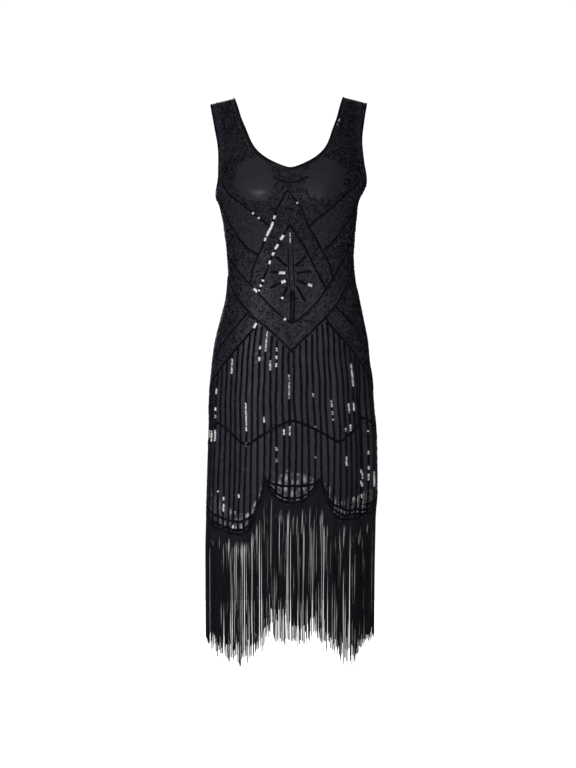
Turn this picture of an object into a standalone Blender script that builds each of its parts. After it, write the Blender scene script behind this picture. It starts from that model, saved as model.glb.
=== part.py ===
"""A sleeveless beaded flapper dress, filled out as when it is worn, with nobody inside it.

Its pieces are walls of cloth: a sheer shell, a lining inside it, narrow bindings round the neck
and the armholes, and a curtain of fringe under the scalloped hem. All of them lie on one smooth
form, which is a ring at each height and closes over the shoulders.

The front faces -Y, +X is on the right seen from the front, +Z is up, and the origin is the
middle of the shoulders. The tables and the functions are in millimetres, the meshes in metres.
A turn is an angle round a ring, from 0 at the middle of the front or back to 90 at a side seam.
"""

import math
from typing import NamedTuple

import bpy
from mathutils import Vector

MM = 0.001

FRONT, BACK = -1, 1
LEFT, RIGHT = -1, 1

# Cloth
SHELL_WALL = 1.2
LINING_WALL = 1.0
LAYER_GAP = 0.7
SEAM_GAP = 0.3
FRINGE_GAP = 0.6
BINDING_WIDTH = 2.8
BINDING_GAP = 0.6
BINDING_LAP = 0.3  # how far a binding stands proud of the cloth, on each face
FRINGE_WALL = 1.2
FRINGE_PROUD = 0.4  # the strings hang this much outside the shell's middle


class Section(NamedTuple):
    """One ring of the form, at its height."""

    height: float
    middle: float  # where the ring's centre lies across the dress
    half_width: float  # from there to the side seams
    front: float  # the depth before the side seams
    back: float  # the depth behind them


SECTIONS = (
    Section(-1130, -2.0, 166.0, 103, 106),
    Section(-960, -2.0, 166.5, 105, 109),
    Section(-850, -1.0, 168.0, 107, 111),
    Section(-780, 2.0, 170.0, 108, 112),
    Section(-720, 3.0, 169.0, 107, 113),
    Section(-660, 3.0, 167.0, 106, 114),
    Section(-600, 0.5, 164.0, 104, 116),
    Section(-560, 1.0, 161.0, 103, 117),
    Section(-520, 0.0, 156.0, 101, 116),
    Section(-480, 1.0, 151.0, 98, 110),
    Section(-440, 2.0, 142.0, 95, 99),
    Section(-400, 3.0, 133.0, 91, 88),
    Section(-360, 1.0, 127.0, 88, 78),
    Section(-320, -1.0, 125.0, 88, 74),
    Section(-280, -2.0, 128.0, 94, 78),
    Section(-240, -3.0, 133.0, 101, 86),
    Section(-212, -5.0, 137.0, 104, 90),
    Section(-196, -6.5, 143.0, 104, 92),
    Section(-184, -4.0, 147.5, 103, 93),
    Section(-168, -1.0, 151.5, 101, 94),
    Section(-140, -1.5, 156.5, 98, 94),
    Section(-100, -2.5, 162.0, 94, 92),
    Section(-50, -4.0, 166.0, 90, 88),
    Section(10, -5.0, 168.0, 88, 86),
)
RING_SQUARENESS = 2.2  # the exponent of each ring: 2 is an ellipse

# The shoulders: the form closes along a sloping ridge, and swells to its full depth below it.
RIDGE_HEIGHT = 4.0
RIDGE_START = 107.0
RIDGE_SLOPE = 0.25
CAP_HEIGHT = 120.0
CAP_SQUARENESS = 2.2

# The bust cups, which the bodice is cut to.
CUP_OUT = 68.0
CUP_HEIGHT = -212.0
CUP_FULLNESS = 21.0
CUP_SPREAD = 52.0
CUP_RISE = 66.0
CUP_FALL = 50.0


class Fold(NamedTuple):
    """One of the largest folds of the skirt, which starts at its top and deepens to the hem."""

    bearing: float  # round the whole ring from the middle of the front, + to the right
    spread: float
    depth: float  # a negative one is a trough
    top: float


FOLDS = (
    Fold(58, 6, -11.0, -450),
    Fold(73, 8, 3.0, -480),
    Fold(30, 9, 2.5, -500),
    Fold(8, 8, -2.5, -510),
    Fold(-20, 9, 2.5, -490),
    Fold(-46, 9, -3.5, -470),
    Fold(-66, 8, 2.5, -500),
    Fold(104, 9, -4.0, -480),
    Fold(128, 9, 3.0, -500),
    Fold(152, 9, -5.0, -460),
    Fold(176, 9, 3.0, -510),
    Fold(-158, 9, -4.0, -490),
    Fold(-134, 9, 3.0, -480),
    Fold(-110, 8, -4.5, -460),
)
FOLD_RIPENS = 220.0  # a fold reaches its full depth this far below its top


class NeckPoint(NamedTuple):
    """A point of the front neck's cut line. The share runs evenly from its lowest point up."""

    share: float
    half_width: float
    height: float


NECK = (
    NeckPoint(0.000, 0.0, -151.5),
    NeckPoint(0.125, 20.0, -144.0),
    NeckPoint(0.250, 46.5, -131.0),
    NeckPoint(0.375, 65.5, -115.0),
    NeckPoint(0.500, 77.5, -97.0),
    NeckPoint(0.625, 87.5, -70.5),
    NeckPoint(0.750, 96.8, -46.0),
    NeckPoint(0.875, 103.7, -21.0),
    NeckPoint(1.000, 111.0, 3.0),
)
BACK_NECK_SHARE = 0.93  # the back scoop is a little less deep than the front one


class ArmholePoint(NamedTuple):
    """A point of an armhole's cut line, from its lowest point at share 0 to the shoulder at 1."""

    share: float
    inset: float  # how far it lies inside the form's side


ARMHOLE = (
    ArmholePoint(0.0, 0.0),
    ArmholePoint(0.05, 2.0),
    ArmholePoint(0.125, 6.0),
    ArmholePoint(0.25, 13.5),
    ArmholePoint(0.5, 22.0),
    ArmholePoint(0.75, 19.5),
    ArmholePoint(1.0, 13.8),
)
ARMHOLE_LOW = {LEFT: -199.0, RIGHT: -171.0}


class Leg(NamedTuple):
    """A stretch of a hem, from a low point to a high one."""

    low_turn: float
    low: float
    high_turn: float
    high: float
    power: float  # 1 is straight, 3 is a flat scallop that turns up steeply to a cusp


SHELL_HEM = {
    (FRONT, LEFT): (
        Leg(0, -801, 16, -762, 2.2),
        Leg(38, -864, 16, -762, 3.6),
        Leg(38, -864, 90, -826, 1.3),
    ),
    (FRONT, RIGHT): (
        Leg(0, -801, 17, -762, 2.2),
        Leg(39, -835, 17, -762, 3.0),
        Leg(39, -835, 90, -802, 1.6),
    ),
    (BACK, LEFT): (
        Leg(0, -823, 16, -783, 2.2),
        Leg(38, -884, 16, -783, 3.0),
        Leg(38, -884, 90, -826, 1.3),
    ),
    (BACK, RIGHT): (
        Leg(0, -823, 17, -783, 2.2),
        Leg(39, -856, 17, -783, 3.0),
        Leg(39, -856, 90, -802, 1.6),
    ),
}
LINING_HEM = {
    (FRONT, LEFT): (
        Leg(36, -822, 0, -744, 2.0),
        Leg(36, -822, 90, -724, 1.8),
    ),
    (FRONT, RIGHT): (
        Leg(36, -791, 0, -744, 2.0),
        Leg(36, -791, 90, -748, 1.8),
    ),
    (BACK, LEFT): (
        Leg(36, -790, 0, -738, 2.0),
        Leg(36, -790, 90, -724, 1.8),
    ),
    (BACK, RIGHT): (
        Leg(36, -780, 0, -738, 2.0),
        Leg(36, -780, 90, -748, 1.8),
    ),
}

FRINGE_END = -1080.0
FRINGE_DIP = 26.0  # the strings hang lower between the middle and the side seams

# The grid that every panel is laid out on
COLUMN_TURNS = (0, 8, 16.5, 22, 30, 38.5, 46, 52, 58, 64, 72, 81, 90)
SIDE_TURN = 90.0
HEM_ROW_TOP = -700.0
WAIST_ROW_TOP = -280.0
HEM_ROWS = 3
SKIRT_ROWS = 6
BUST_ROWS = 4
YOKE_ROWS = 8
FRINGE_ROWS = 2
EDGE_SAMPLES = 200  # the steps in which an edge is measured before it is divided evenly
NORMAL_STEP = 0.5  # degrees round a ring, and mm down
RIDGE_REPEATS = 8
WELD_PLACES = 3  # decimals of a millimetre to which shared points agree
SHARP_ANGLE = 40

FINISHES = {  # colour, roughness, metallic
    "shell": ((0.020, 0.020, 0.024, 1.0), 0.55, 0.0),
    "lining": ((0.012, 0.012, 0.015, 1.0), 0.75, 0.0),
    "binding": ((0.008, 0.008, 0.010, 1.0), 0.45, 0.0),
    "fringe": ((0.010, 0.011, 0.012, 1.0), 0.40, 0.0),
}


def smooth_value(rows, key, column, at):
    """The value of a column where the key column is at a value, on a smooth curve through the rows."""
    places = [getattr(row, key) for row in rows]
    values = [getattr(row, column) for row in rows]
    at = min(max(at, places[0]), places[-1])
    last = len(rows) - 1
    low = max(index for index in range(last) if index == 0 or places[index] <= at)

    def slope(index):
        before, after = max(index - 1, 0), min(index + 1, last)
        return (values[after] - values[before]) / (places[after] - places[before])

    step = places[low + 1] - places[low]
    t = (at - places[low]) / step
    return (
        values[low] * (2 * t**3 - 3 * t**2 + 1)
        + slope(low) * step * (t**3 - 2 * t**2 + t)
        + values[low + 1] * (3 * t**2 - 2 * t**3)
        + slope(low + 1) * step * (t**3 - t**2)
    )


def section_value(column, height):
    return smooth_value(SECTIONS, "height", column, height)


def smoothstep(t):
    t = min(max(t, 0.0), 1.0)
    return t * t * (3 - 2 * t)


def shoulder_ridge(x):
    """The height at which front and back meet over a shoulder."""
    return RIDGE_HEIGHT - RIDGE_SLOPE * (abs(x) - RIDGE_START)


def cap_share(drop):
    """How much of its full depth the form has at this drop below the shoulder ridge."""
    if drop >= CAP_HEIGHT:
        return 1.0
    rest = 1 - max(drop, 0.0) / CAP_HEIGHT
    return (1 - rest**CAP_SQUARENESS) ** (1 / CAP_SQUARENESS)


def cup_fullness(x, height):
    rise = CUP_RISE if height > CUP_HEIGHT else CUP_FALL
    lift = math.exp(-(((height - CUP_HEIGHT) / rise) ** 2))
    across = sum(math.exp(-(((x - side * CUP_OUT) / CUP_SPREAD) ** 2)) for side in (LEFT, RIGHT))
    return CUP_FULLNESS * lift * across


def fold_depth(bearing, height):
    depth = 0.0
    for fold in FOLDS:
        away = (bearing - fold.bearing + 180) % 360 - 180
        ripe = smoothstep((fold.top - height) / FOLD_RIPENS)
        depth += fold.depth * ripe * math.exp(-((away / fold.spread) ** 2))
    return depth


def straight_out(face, side, turn):
    angle = math.radians(turn)
    return Vector((side * math.sin(angle), face * math.cos(angle), 0))


def form_point(face, side, turn, height):
    """The point of the form at a turn and a height, on the front or back and the left or right."""
    angle = math.radians(turn)
    across = math.sin(angle) ** (2 / RING_SQUARENESS)
    along = max(math.cos(angle), 0.0) ** (2 / RING_SQUARENESS)
    x = section_value("middle", height) + side * section_value("half_width", height) * across
    depth = section_value("front" if face == FRONT else "back", height)
    if face == FRONT:
        depth += cup_fullness(x, height)
    y = face * depth * along * cap_share(shoulder_ridge(x) - height)
    point = Vector((x, y, height))
    bearing = side * (turn if face == FRONT else 180 - turn)
    return point + straight_out(face, side, turn) * fold_depth(bearing, height)


def form_normal(face, side, turn, height):
    """The outward direction of the form, found from close neighbours on its surface."""
    here = form_point(face, side, turn, height)
    if shoulder_ridge(here.x) - height < NORMAL_STEP:
        return Vector((side * RIDGE_SLOPE, 0, 1)).normalized()
    next_turn, last_turn = min(turn + NORMAL_STEP, SIDE_TURN), max(turn - NORMAL_STEP, 0.0)
    along = form_point(face, side, next_turn, height) - form_point(face, side, last_turn, height)
    down = form_point(face, side, turn, height - NORMAL_STEP) - here
    normal = along.cross(down)
    if normal.dot(straight_out(face, side, turn)) < 0:
        normal.negate()
    if turn >= SIDE_TURN:
        normal.y = 0.0  # front and back share the direction along their seam
    return normal.normalized()


def spaced(curve, count):
    """Places along a curve, a function of a share from 0 to 1, that are equally far apart."""
    shares = [index / EDGE_SAMPLES for index in range(EDGE_SAMPLES + 1)]
    points = [curve(share)[0] for share in shares]
    travelled = [0.0]
    for before, after in zip(points, points[1:]):
        travelled.append(travelled[-1] + (after - before).length)
    places = []
    for step in range(count + 1):
        wanted = travelled[-1] * step / count
        index = min(sum(length < wanted for length in travelled), EDGE_SAMPLES)
        places.append(curve(shares[index])[1])
    return places


def neck_curve(face, side):
    """The neck's cut line as a function of a share, giving its point and its (turn, height)."""
    top = NECK[-1].height
    depth_share = 1.0 if face == FRONT else BACK_NECK_SHARE

    def at(share):
        half = smooth_value(NECK, "share", "half_width", share)
        height = top + (smooth_value(NECK, "share", "height", share) - top) * depth_share
        if share == 1:
            height = shoulder_ridge(section_value("middle", height) + side * half)
        turn = turn_of(half / section_value("half_width", height))
        return form_point(face, side, turn, height), (turn, height)

    return at


def armhole_top(side):
    """The height where an armhole's cut line meets the shoulder ridge, settled by repetition."""
    top = RIDGE_HEIGHT
    for _ in range(RIDGE_REPEATS):
        half = section_value("half_width", top) - ARMHOLE[-1].inset
        top = shoulder_ridge(section_value("middle", top) + side * half)
    return top


def armhole_curve(face, side):
    """The armhole's cut line, in the same terms as the neck's."""
    low, top = ARMHOLE_LOW[side], armhole_top(side)

    def at(share):
        height = between(low, top, share)
        half = section_value("half_width", height)
        inset = smooth_value(ARMHOLE, "share", "inset", share)
        turn = turn_of(max(half - inset, 0) / half)
        return form_point(face, side, turn, height), (turn, height)

    return at


def turn_of(width_share):
    """The turn at which a ring has this share of its half width."""
    return math.degrees(math.asin(min(width_share, 1.0) ** (RING_SQUARENESS / 2)))


def hem_height(hems, face, side, turn):
    """The height of a scalloped hem at a turn, on the leg that spans it."""
    for leg in hems[face, side]:
        share = (turn - leg.low_turn) / (leg.high_turn - leg.low_turn)
        if 0 <= share <= 1:
            return between(leg.low, leg.high, share**leg.power)
    raise ValueError(f"no hem leg spans turn {turn}")


def between(first, last, share):
    return first + (last - first) * share


def panel_rows(face, side, hems):
    """The (turn, height) grid of one half of a panel, row by row from the hem to the shoulder."""
    neck = spaced(neck_curve(face, side), YOKE_ROWS)
    armhole = spaced(armhole_curve(face, side), YOKE_ROWS)
    rows = []
    for step in range(HEM_ROWS):
        row = []
        for turn in COLUMN_TURNS:
            hem = hem_height(hems, face, side, turn)
            row.append((turn, between(hem, HEM_ROW_TOP, step / HEM_ROWS)))
        rows.append(row)
    for step in range(SKIRT_ROWS):
        height = between(HEM_ROW_TOP, WAIST_ROW_TOP, step / SKIRT_ROWS)
        rows.append([(turn, height) for turn in COLUMN_TURNS])
    for step in range(BUST_ROWS):
        share = step / BUST_ROWS
        middle = between(WAIST_ROW_TOP, neck[0][1], share)
        edge = between(WAIST_ROW_TOP, armhole[0][1], share)
        rows.append([(turn, between(middle, edge, turn / SIDE_TURN)) for turn in COLUMN_TURNS])
    for inner, outer in zip(neck, armhole):
        shares = [turn / SIDE_TURN for turn in COLUMN_TURNS]
        rows.append([tuple(between(a, b, share) for a, b in zip(inner, outer)) for share in shares])
    return rows


def fringe_rows(face, side):
    rows = []
    for step in range(FRINGE_ROWS + 1):
        row = []
        for turn in COLUMN_TURNS:
            end = FRINGE_END - FRINGE_DIP * math.sin(math.radians(2 * turn)) ** 2
            top = hem_height(SHELL_HEM, face, side, turn) - FRINGE_GAP
            row.append((turn, between(end, top, step / FRINGE_ROWS)))
        rows.append(row)
    return rows


def placed(face, side, turn, height):
    """A grid point and its outward direction, half a seam gap short of a seam."""
    point = form_point(face, side, turn, height)
    if abs(point.y) < SEAM_GAP / 2:
        point.y = face * SEAM_GAP / 2
    return point, form_normal(face, side, turn, height)


def finish_material(name):
    colour, roughness, metallic = FINISHES[name]
    material = bpy.data.materials.new(name)
    material.use_nodes = True
    shader = material.node_tree.nodes["Principled BSDF"]
    shader.inputs["Base Color"].default_value = colour
    shader.inputs["Roughness"].default_value = roughness
    shader.inputs["Metallic"].default_value = metallic
    material.diffuse_color = colour
    return material


def new_object(name, points, faces, finish):
    mesh = bpy.data.meshes.new(name)
    mesh.from_pydata([point * MM for point in points], [], faces)
    mesh.validate()
    mesh.shade_smooth()
    mesh.set_sharp_from_angle(angle=math.radians(SHARP_ANGLE))
    piece = bpy.data.objects.new(name, mesh)
    piece.data.materials.append(finish_material(finish))
    bpy.context.scene.collection.objects.link(piece)
    return piece


def cloth_wall(name, halves, outer, inner, finish):
    """A closed wall of cloth on the grids of its halves, from one distance off them to another.

    The distances run outwards, so those of a layer inside the form are negative.
    """
    points, normals, number = [], [], {}
    quads = []

    def numbered(point, normal):
        key = tuple(round(value, WELD_PLACES) for value in point)
        if key not in number:
            number[key] = len(points)
            points.append(point)
            normals.append(normal)
        return number[key]

    for grid in halves:
        for low_row, high_row in zip(grid, grid[1:]):
            for column in range(len(low_row) - 1):
                corners = (low_row[column], low_row[column + 1], high_row[column + 1], high_row[column])
                quad = [numbered(*corner) for corner in corners]
                across = points[quad[2]] - points[quad[0]]
                along = points[quad[3]] - points[quad[1]]
                if across.cross(along).dot(normals[quad[0]]) < 0:
                    quad.reverse()
                quads.append(quad)

    count = len(points)
    walls = [p + n * outer for p, n in zip(points, normals)]
    walls += [p + n * inner for p, n in zip(points, normals)]
    # Every layer splits its quads along the same diagonal, so that no layer bulges into the next.
    halved = [(quad[0], quad[k], quad[k + 1]) for quad in quads for k in (1, 2)]
    faces = [list(half) for half in halved]
    faces += [[corner + count for corner in reversed(half)] for half in halved]
    edges = {(quad[k], quad[(k + 1) % 4]) for quad in quads for k in range(4)}
    for start, end in sorted(edges):
        if (end, start) not in edges:
            faces.append([end, start, start + count, end + count])
    return new_object(name, walls, faces, finish)


def binding(name, edge, outer, inner):
    """A closed strip along a loop of edge points, which are (point, normal, point further in)."""
    points, faces = [], []
    count = len(edge)
    for index, (point, normal, further_in) in enumerate(edge):
        tangent = edge[(index + 1) % count][0] - edge[index - 1][0]
        away = normal.cross(tangent).normalized()
        if away.dot(point - further_in) < 0:
            away.negate()
        near, far = away * BINDING_GAP, away * (BINDING_GAP + BINDING_WIDTH)
        points += [
            point + near + normal * outer,
            point + far + normal * outer,
            point + far + normal * inner,
            point + near + normal * inner,
        ]
    for index in range(count):
        here, there = 4 * index, 4 * ((index + 1) % count)
        for corner in range(4):
            after = (corner + 1) % 4
            faces.append([here + corner, there + corner, there + after, here + after])
    first = faces[0]
    outside = (points[first[1]] - points[first[0]]).cross(points[first[3]] - points[first[0]])
    if outside.dot(edge[0][1]) < 0:
        faces = [list(reversed(face)) for face in faces]
    return new_object(name, points, faces, "binding")


def grid_points(face, side, rows):
    return [[placed(face, side, *place) for place in row] for row in rows]


def edge_run(grid, column, inward):
    """The yoke's edge in one column of a grid, from its lowest point up to the shoulder."""
    yoke = grid[-YOKE_ROWS - 1 :]
    run = [(*row[column], row[column + inward][0]) for row in yoke]
    below = grid[-YOKE_ROWS - 2][column][0]
    return [(*yoke[0][column], below)] + run[1:]


def joined_edge(runs):
    """Runs end to end as one loop, with the double points where two panels meet made one."""
    loop = []
    for run in runs:
        for point, normal, further_in in run:
            if loop and (point - loop[-1][0]).length < 2 * SEAM_GAP:
                loop[-1][0].xyz = (loop[-1][0] + point) / 2
                continue
            loop.append((point.copy(), normal, further_in))
    if (loop[0][0] - loop[-1][0]).length < 2 * SEAM_GAP:
        loop.pop()
    return loop


def clear_scene():
    for thing in list(bpy.data.objects):
        bpy.data.objects.remove(thing, do_unlink=True)


def build_dress():
    shell_grids = {}
    half_wall = SHELL_WALL / 2
    lining_outer = -half_wall - LAYER_GAP
    for face, word in ((FRONT, "front"), (BACK, "back")):
        halves = [grid_points(face, side, panel_rows(face, side, SHELL_HEM)) for side in (LEFT, RIGHT)]
        shell_grids[face] = dict(zip((LEFT, RIGHT), halves))
        cloth_wall(f"shell_{word}", halves, half_wall, -half_wall, "shell")
        halves = [grid_points(face, side, panel_rows(face, side, LINING_HEM)) for side in (LEFT, RIGHT)]
        cloth_wall(f"lining_{word}", halves, lining_outer, lining_outer - LINING_WALL, "lining")
        halves = [grid_points(face, side, fringe_rows(face, side)) for side in (LEFT, RIGHT)]
        outer = FRINGE_PROUD + FRINGE_WALL / 2
        cloth_wall(f"fringe_{word}", halves, outer, outer - FRINGE_WALL, "fringe")

    outer = half_wall + BINDING_LAP
    inner = lining_outer - LINING_WALL - BINDING_LAP
    neck_runs = []
    for face, side in ((FRONT, RIGHT), (BACK, RIGHT), (BACK, LEFT), (FRONT, LEFT)):
        run = edge_run(shell_grids[face][side], 0, 1)
        neck_runs.append(run if (face, side) in ((FRONT, RIGHT), (BACK, LEFT)) else run[::-1])
    binding("neck_binding", joined_edge(neck_runs), outer, inner)
    for side, word in ((LEFT, "left"), (RIGHT, "right")):
        front_run = edge_run(shell_grids[FRONT][side], -1, -1)
        back_run = edge_run(shell_grids[BACK][side], -1, -1)
        binding(f"armhole_binding_{word}", joined_edge([front_run, back_run[::-1]]), outer, inner)


clear_scene()
build_dress()
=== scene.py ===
# %% [markdown]
# # A beaded flapper dress
# A 1920s evening dress is a straight sleeveless shift of sheer net, with an opaque lining inside
# it. What makes it shine is sewn on by hand: rows of sequins draw the chevrons and the stripes,
# curls of seed beads fill the fields between them, and a long fringe swings from the scallops.
# This lesson builds those layers in the order in which a maker works: cloth, trimmings, beads,
# fringe, finishes, and at last the studio.
#
# The imported frame holds the plain solids of the dress. Each one is replaced here by a detailed
# piece on the same form, so the first step is to load it, with each solid kept where it stands.

# %% Load the frame
import math
from typing import NamedTuple

import bpy
import numpy as np
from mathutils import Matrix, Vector
from mathutils.kdtree import KDTree


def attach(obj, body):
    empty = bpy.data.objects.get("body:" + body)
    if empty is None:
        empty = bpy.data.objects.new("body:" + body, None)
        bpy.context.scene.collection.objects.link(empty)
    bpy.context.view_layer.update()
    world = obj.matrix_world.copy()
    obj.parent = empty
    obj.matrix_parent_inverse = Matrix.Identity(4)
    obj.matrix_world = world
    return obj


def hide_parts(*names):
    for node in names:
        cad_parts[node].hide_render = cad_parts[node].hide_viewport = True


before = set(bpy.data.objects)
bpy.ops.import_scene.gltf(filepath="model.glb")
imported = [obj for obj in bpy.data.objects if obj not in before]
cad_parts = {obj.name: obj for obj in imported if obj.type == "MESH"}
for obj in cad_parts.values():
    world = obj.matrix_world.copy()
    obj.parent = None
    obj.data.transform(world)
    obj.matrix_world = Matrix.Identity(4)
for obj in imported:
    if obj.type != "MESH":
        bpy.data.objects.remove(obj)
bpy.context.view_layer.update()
MM = 0.001
print("frame nodes:", ", ".join(sorted(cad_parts)))

# %% [markdown]
# ## The form
# Every layer follows one form: a ring at each height, which closes over the shoulders. A place on
# it has a face (front or back), a side (left or right), a turn round the ring, from 0 in the
# middle of the face to 90 at the side seam, and a height. One table gives the rings, and a smooth
# curve runs through its rows. The functions take whole arrays, because beads come in thousands.
# Tables and functions are in millimetres, and meshes in metres.

# %% A smooth curve through table rows
FRONT, BACK = -1, 1
LEFT, RIGHT = -1, 1
SIDE_TURN = 90.0


class Curve:
    """A smooth curve through rows, whose slope at each row comes from the rows beside it."""

    def __init__(self, places, values):
        self.places = np.asarray(places, float)
        self.values = np.asarray(values, float)
        index = np.arange(len(self.places))
        before, after = np.maximum(index - 1, 0), np.minimum(index + 1, index[-1])
        rise = self.values[after] - self.values[before]
        self.slopes = rise / (self.places[after] - self.places[before])

    def __call__(self, at):
        at = np.clip(at, self.places[0], self.places[-1])
        low = np.searchsorted(self.places, at, side="right") - 1
        low = np.clip(low, 0, len(self.places) - 2)
        step = self.places[low + 1] - self.places[low]
        t = (at - self.places[low]) / step
        return (
            self.values[low] * (2 * t**3 - 3 * t**2 + 1)
            + self.slopes[low] * step * (t**3 - 2 * t**2 + t)
            + self.values[low + 1] * (3 * t**2 - 2 * t**3)
            + self.slopes[low + 1] * step * (t**3 - t**2)
        )


def smoothstep(t):
    t = np.clip(t, 0.0, 1.0)
    return t * t * (3 - 2 * t)


def between(first, last, share):
    return first + (last - first) * share


# %% The rings
class Section(NamedTuple):
    height: float
    middle: float  # where the ring's centre lies across the dress
    half_width: float
    front: float  # depth before the side seams
    back: float  # depth behind them


SECTIONS = [Section(*row) for row in (
    (-1130, -2, 166, 103, 106), (-960, -2, 166.5, 105, 109), (-850, -1, 168, 107, 111),
    (-780, 2, 170, 108, 112), (-720, 3, 169, 107, 113), (-660, 3, 167, 106, 114),
    (-600, 0.5, 164, 104, 116), (-560, 1, 161, 103, 117), (-520, 0, 156, 101, 116),
    (-480, 1, 151, 98, 110), (-440, 2, 142, 95, 99), (-400, 3, 133, 91, 88),
    (-360, 1, 127, 88, 78), (-320, -1, 125, 88, 74), (-280, -2, 128, 94, 78),
    (-240, -3, 133, 101, 86), (-212, -5, 137, 104, 90), (-196, -6.5, 143, 104, 92),
    (-184, -4, 147.5, 103, 93), (-168, -1, 151.5, 101, 94), (-140, -1.5, 156.5, 98, 94),
    (-100, -2.5, 162, 94, 92), (-50, -4, 166, 90, 88), (10, -5, 168, 88, 86),
)]  # fmt: skip
RING_SQUARENESS = 2.2  # 2 is an ellipse
RING_POWER = 2 / RING_SQUARENESS


def ring_curve(column):
    return Curve([row.height for row in SECTIONS], [getattr(row, column) for row in SECTIONS])


middle_at, half_width_at, front_at, back_at = map(ring_curve, Section._fields[1:])

RIDGE_HEIGHT, RIDGE_START, RIDGE_SLOPE = 4.0, 107.0, 0.25
CAP_HEIGHT, CAP_SQUARENESS = 120.0, 2.2
CUP_OUT, CUP_HEIGHT, CUP_FULLNESS, CUP_SPREAD = 66.0, -205.0, 25.0, 70.0
CUP_RISE, CUP_FALL = 66.0, 50.0


def shoulder_ridge(x):
    """The height at which front and back meet over a shoulder."""
    return RIDGE_HEIGHT - RIDGE_SLOPE * (np.abs(x) - RIDGE_START)


def cap_share(drop):
    """How much of its full depth the form has at this drop below the shoulder ridge."""
    rest = 1 - np.clip(drop, 0, CAP_HEIGHT) / CAP_HEIGHT
    return (1 - rest**CAP_SQUARENESS) ** (1 / CAP_SQUARENESS)


def cup_fullness(x, height):
    rise = np.where(height > CUP_HEIGHT, CUP_RISE, CUP_FALL)
    lift = np.exp(-(((height - CUP_HEIGHT) / rise) ** 2))
    across = sum(np.exp(-(((x - side * CUP_OUT) / CUP_SPREAD) ** 2)) for side in (LEFT, RIGHT))
    return CUP_FULLNESS * lift * across


# %% [markdown]
# ## Folds and creases
# A hanging skirt isn't a tin tube. Long folds run up from the hem, and short creases pull across
# the waist and away from the armholes, where the body of a wearer would stretch the cloth. A fold
# is a soft trough or ridge along the height; a crease is one that also leans. All layers share
# them, so that beads, net and lining stay together.

# %% The folds of the skirt
class Fold(NamedTuple):
    bearing: float  # round the whole ring from the middle of the front, + to the right
    spread: float
    depth: float  # a negative one is a trough
    top: float


FOLDS = [Fold(*row) for row in (
    (58, 6, -11, -450), (73, 8, 3, -480), (30, 9, 2.5, -500), (8, 8, -2.5, -510),
    (-20, 9, 2.5, -490), (-46, 9, -3.5, -470), (-66, 8, 2.5, -500), (104, 9, -4, -480),
    (128, 9, 3, -500), (152, 9, -5, -460), (176, 9, 3, -510), (-158, 9, -4, -490),
    (-134, 9, 3, -480), (-110, 8, -4.5, -460),
)]  # fmt: skip
FOLD_RIPENS = 220.0  # a fold reaches its full depth this far below its top


# %% The creases
class Crease(NamedTuple):
    bearing: float
    height: float
    reach: float  # half its length
    width: float
    lean: float  # degrees of bearing that it moves over its reach
    depth: float


CREASES = [Crease(*row) for row in (
    (-72, -300, 46, 5, 16, -1.6), (-60, -332, 40, 5, 14, -1.3), (-78, -368, 36, 5, -12, -1.4),
    (66, -292, 44, 5, -15, -1.5), (78, -336, 40, 5, -12, -1.6), (70, -384, 36, 4, 12, -1.2),
    (-84, -236, 30, 5, 14, -1.5), (80, -226, 34, 5, -12, -1.4), (-40, -246, 30, 2.2, 2, -0.9),
    (-35, -254, 26, 2, -2, -0.8), (-45, -238, 28, 2.4, 3, -0.8), (37, -248, 28, 2.2, -2, -0.9),
    (43, -242, 26, 2.2, -2, -0.7), (-40, -440, 50, 5, 6, -1), (38, -452, 46, 5, -6, -1.1),
    (112, -310, 46, 6, -16, -1.6), (-108, -330, 44, 6, 15, -1.5), (146, -360, 50, 6, -10, -1.2),
    (-150, -300, 52, 6, 10, -1.4), (172, -420, 60, 6, 5, -1.1), (-128, -430, 48, 6, -8, -1.2),
    (24, -600, 90, 3.5, 2, -1), (-8, -660, 80, 3.5, -2, -0.9), (-32, -590, 90, 3.5, 2, -1.1),
    (-58, -650, 90, 3.5, -2, -1), (44, -690, 80, 3.5, 2, -0.9), (140, -640, 90, 4, 2, -1.1),
    (-146, -620, 90, 4, -2, -1),
)]  # fmt: skip


def turned(degrees):
    return (degrees + 180) % 360 - 180


def fold_depth(bearing, height):
    depth = np.zeros_like(height, float)
    for fold in FOLDS:
        ripe = smoothstep((fold.top - height) / FOLD_RIPENS)
        away = turned(bearing - fold.bearing) / fold.spread
        depth += fold.depth * ripe * np.exp(-(away**2))
    for crease in CREASES:
        along = (height - crease.height) / crease.reach
        away = turned(bearing - crease.bearing - crease.lean * along) / crease.width
        depth += crease.depth * np.exp(-(away**2) - along**4)
    return depth


# %% Points and normals of the form
NORMAL_STEP = 0.5  # degrees round a ring, and mm down


def outward(face, side, turn):
    angle = np.radians(turn)
    return np.stack([side * np.sin(angle), face * np.cos(angle), np.zeros_like(angle)], -1)


def bearing_of(face, side, turn):
    return side * np.where(face == FRONT, turn, 180 - turn)


def form(face, side, turn, height):
    """Points of the form, in millimetres. All four may be arrays."""
    face, side, turn, height = np.broadcast_arrays(face, side, np.asarray(turn, float), height)
    angle = np.radians(turn)
    x = middle_at(height) + side * half_width_at(height) * np.sin(angle) ** RING_POWER
    depth = np.where(face == FRONT, front_at(height) + cup_fullness(x, height), back_at(height))
    depth = depth * np.maximum(np.cos(angle), 0) ** RING_POWER
    y = face * depth * cap_share(shoulder_ridge(x) - height)
    points = np.stack([x, y, height.astype(float)], -1)
    fold = fold_depth(bearing_of(face, side, turn), height)
    return points + outward(face, side, turn) * fold[..., None]


def unit(vectors):
    return vectors / np.maximum(np.linalg.norm(vectors, axis=-1, keepdims=True), 1e-12)


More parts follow.
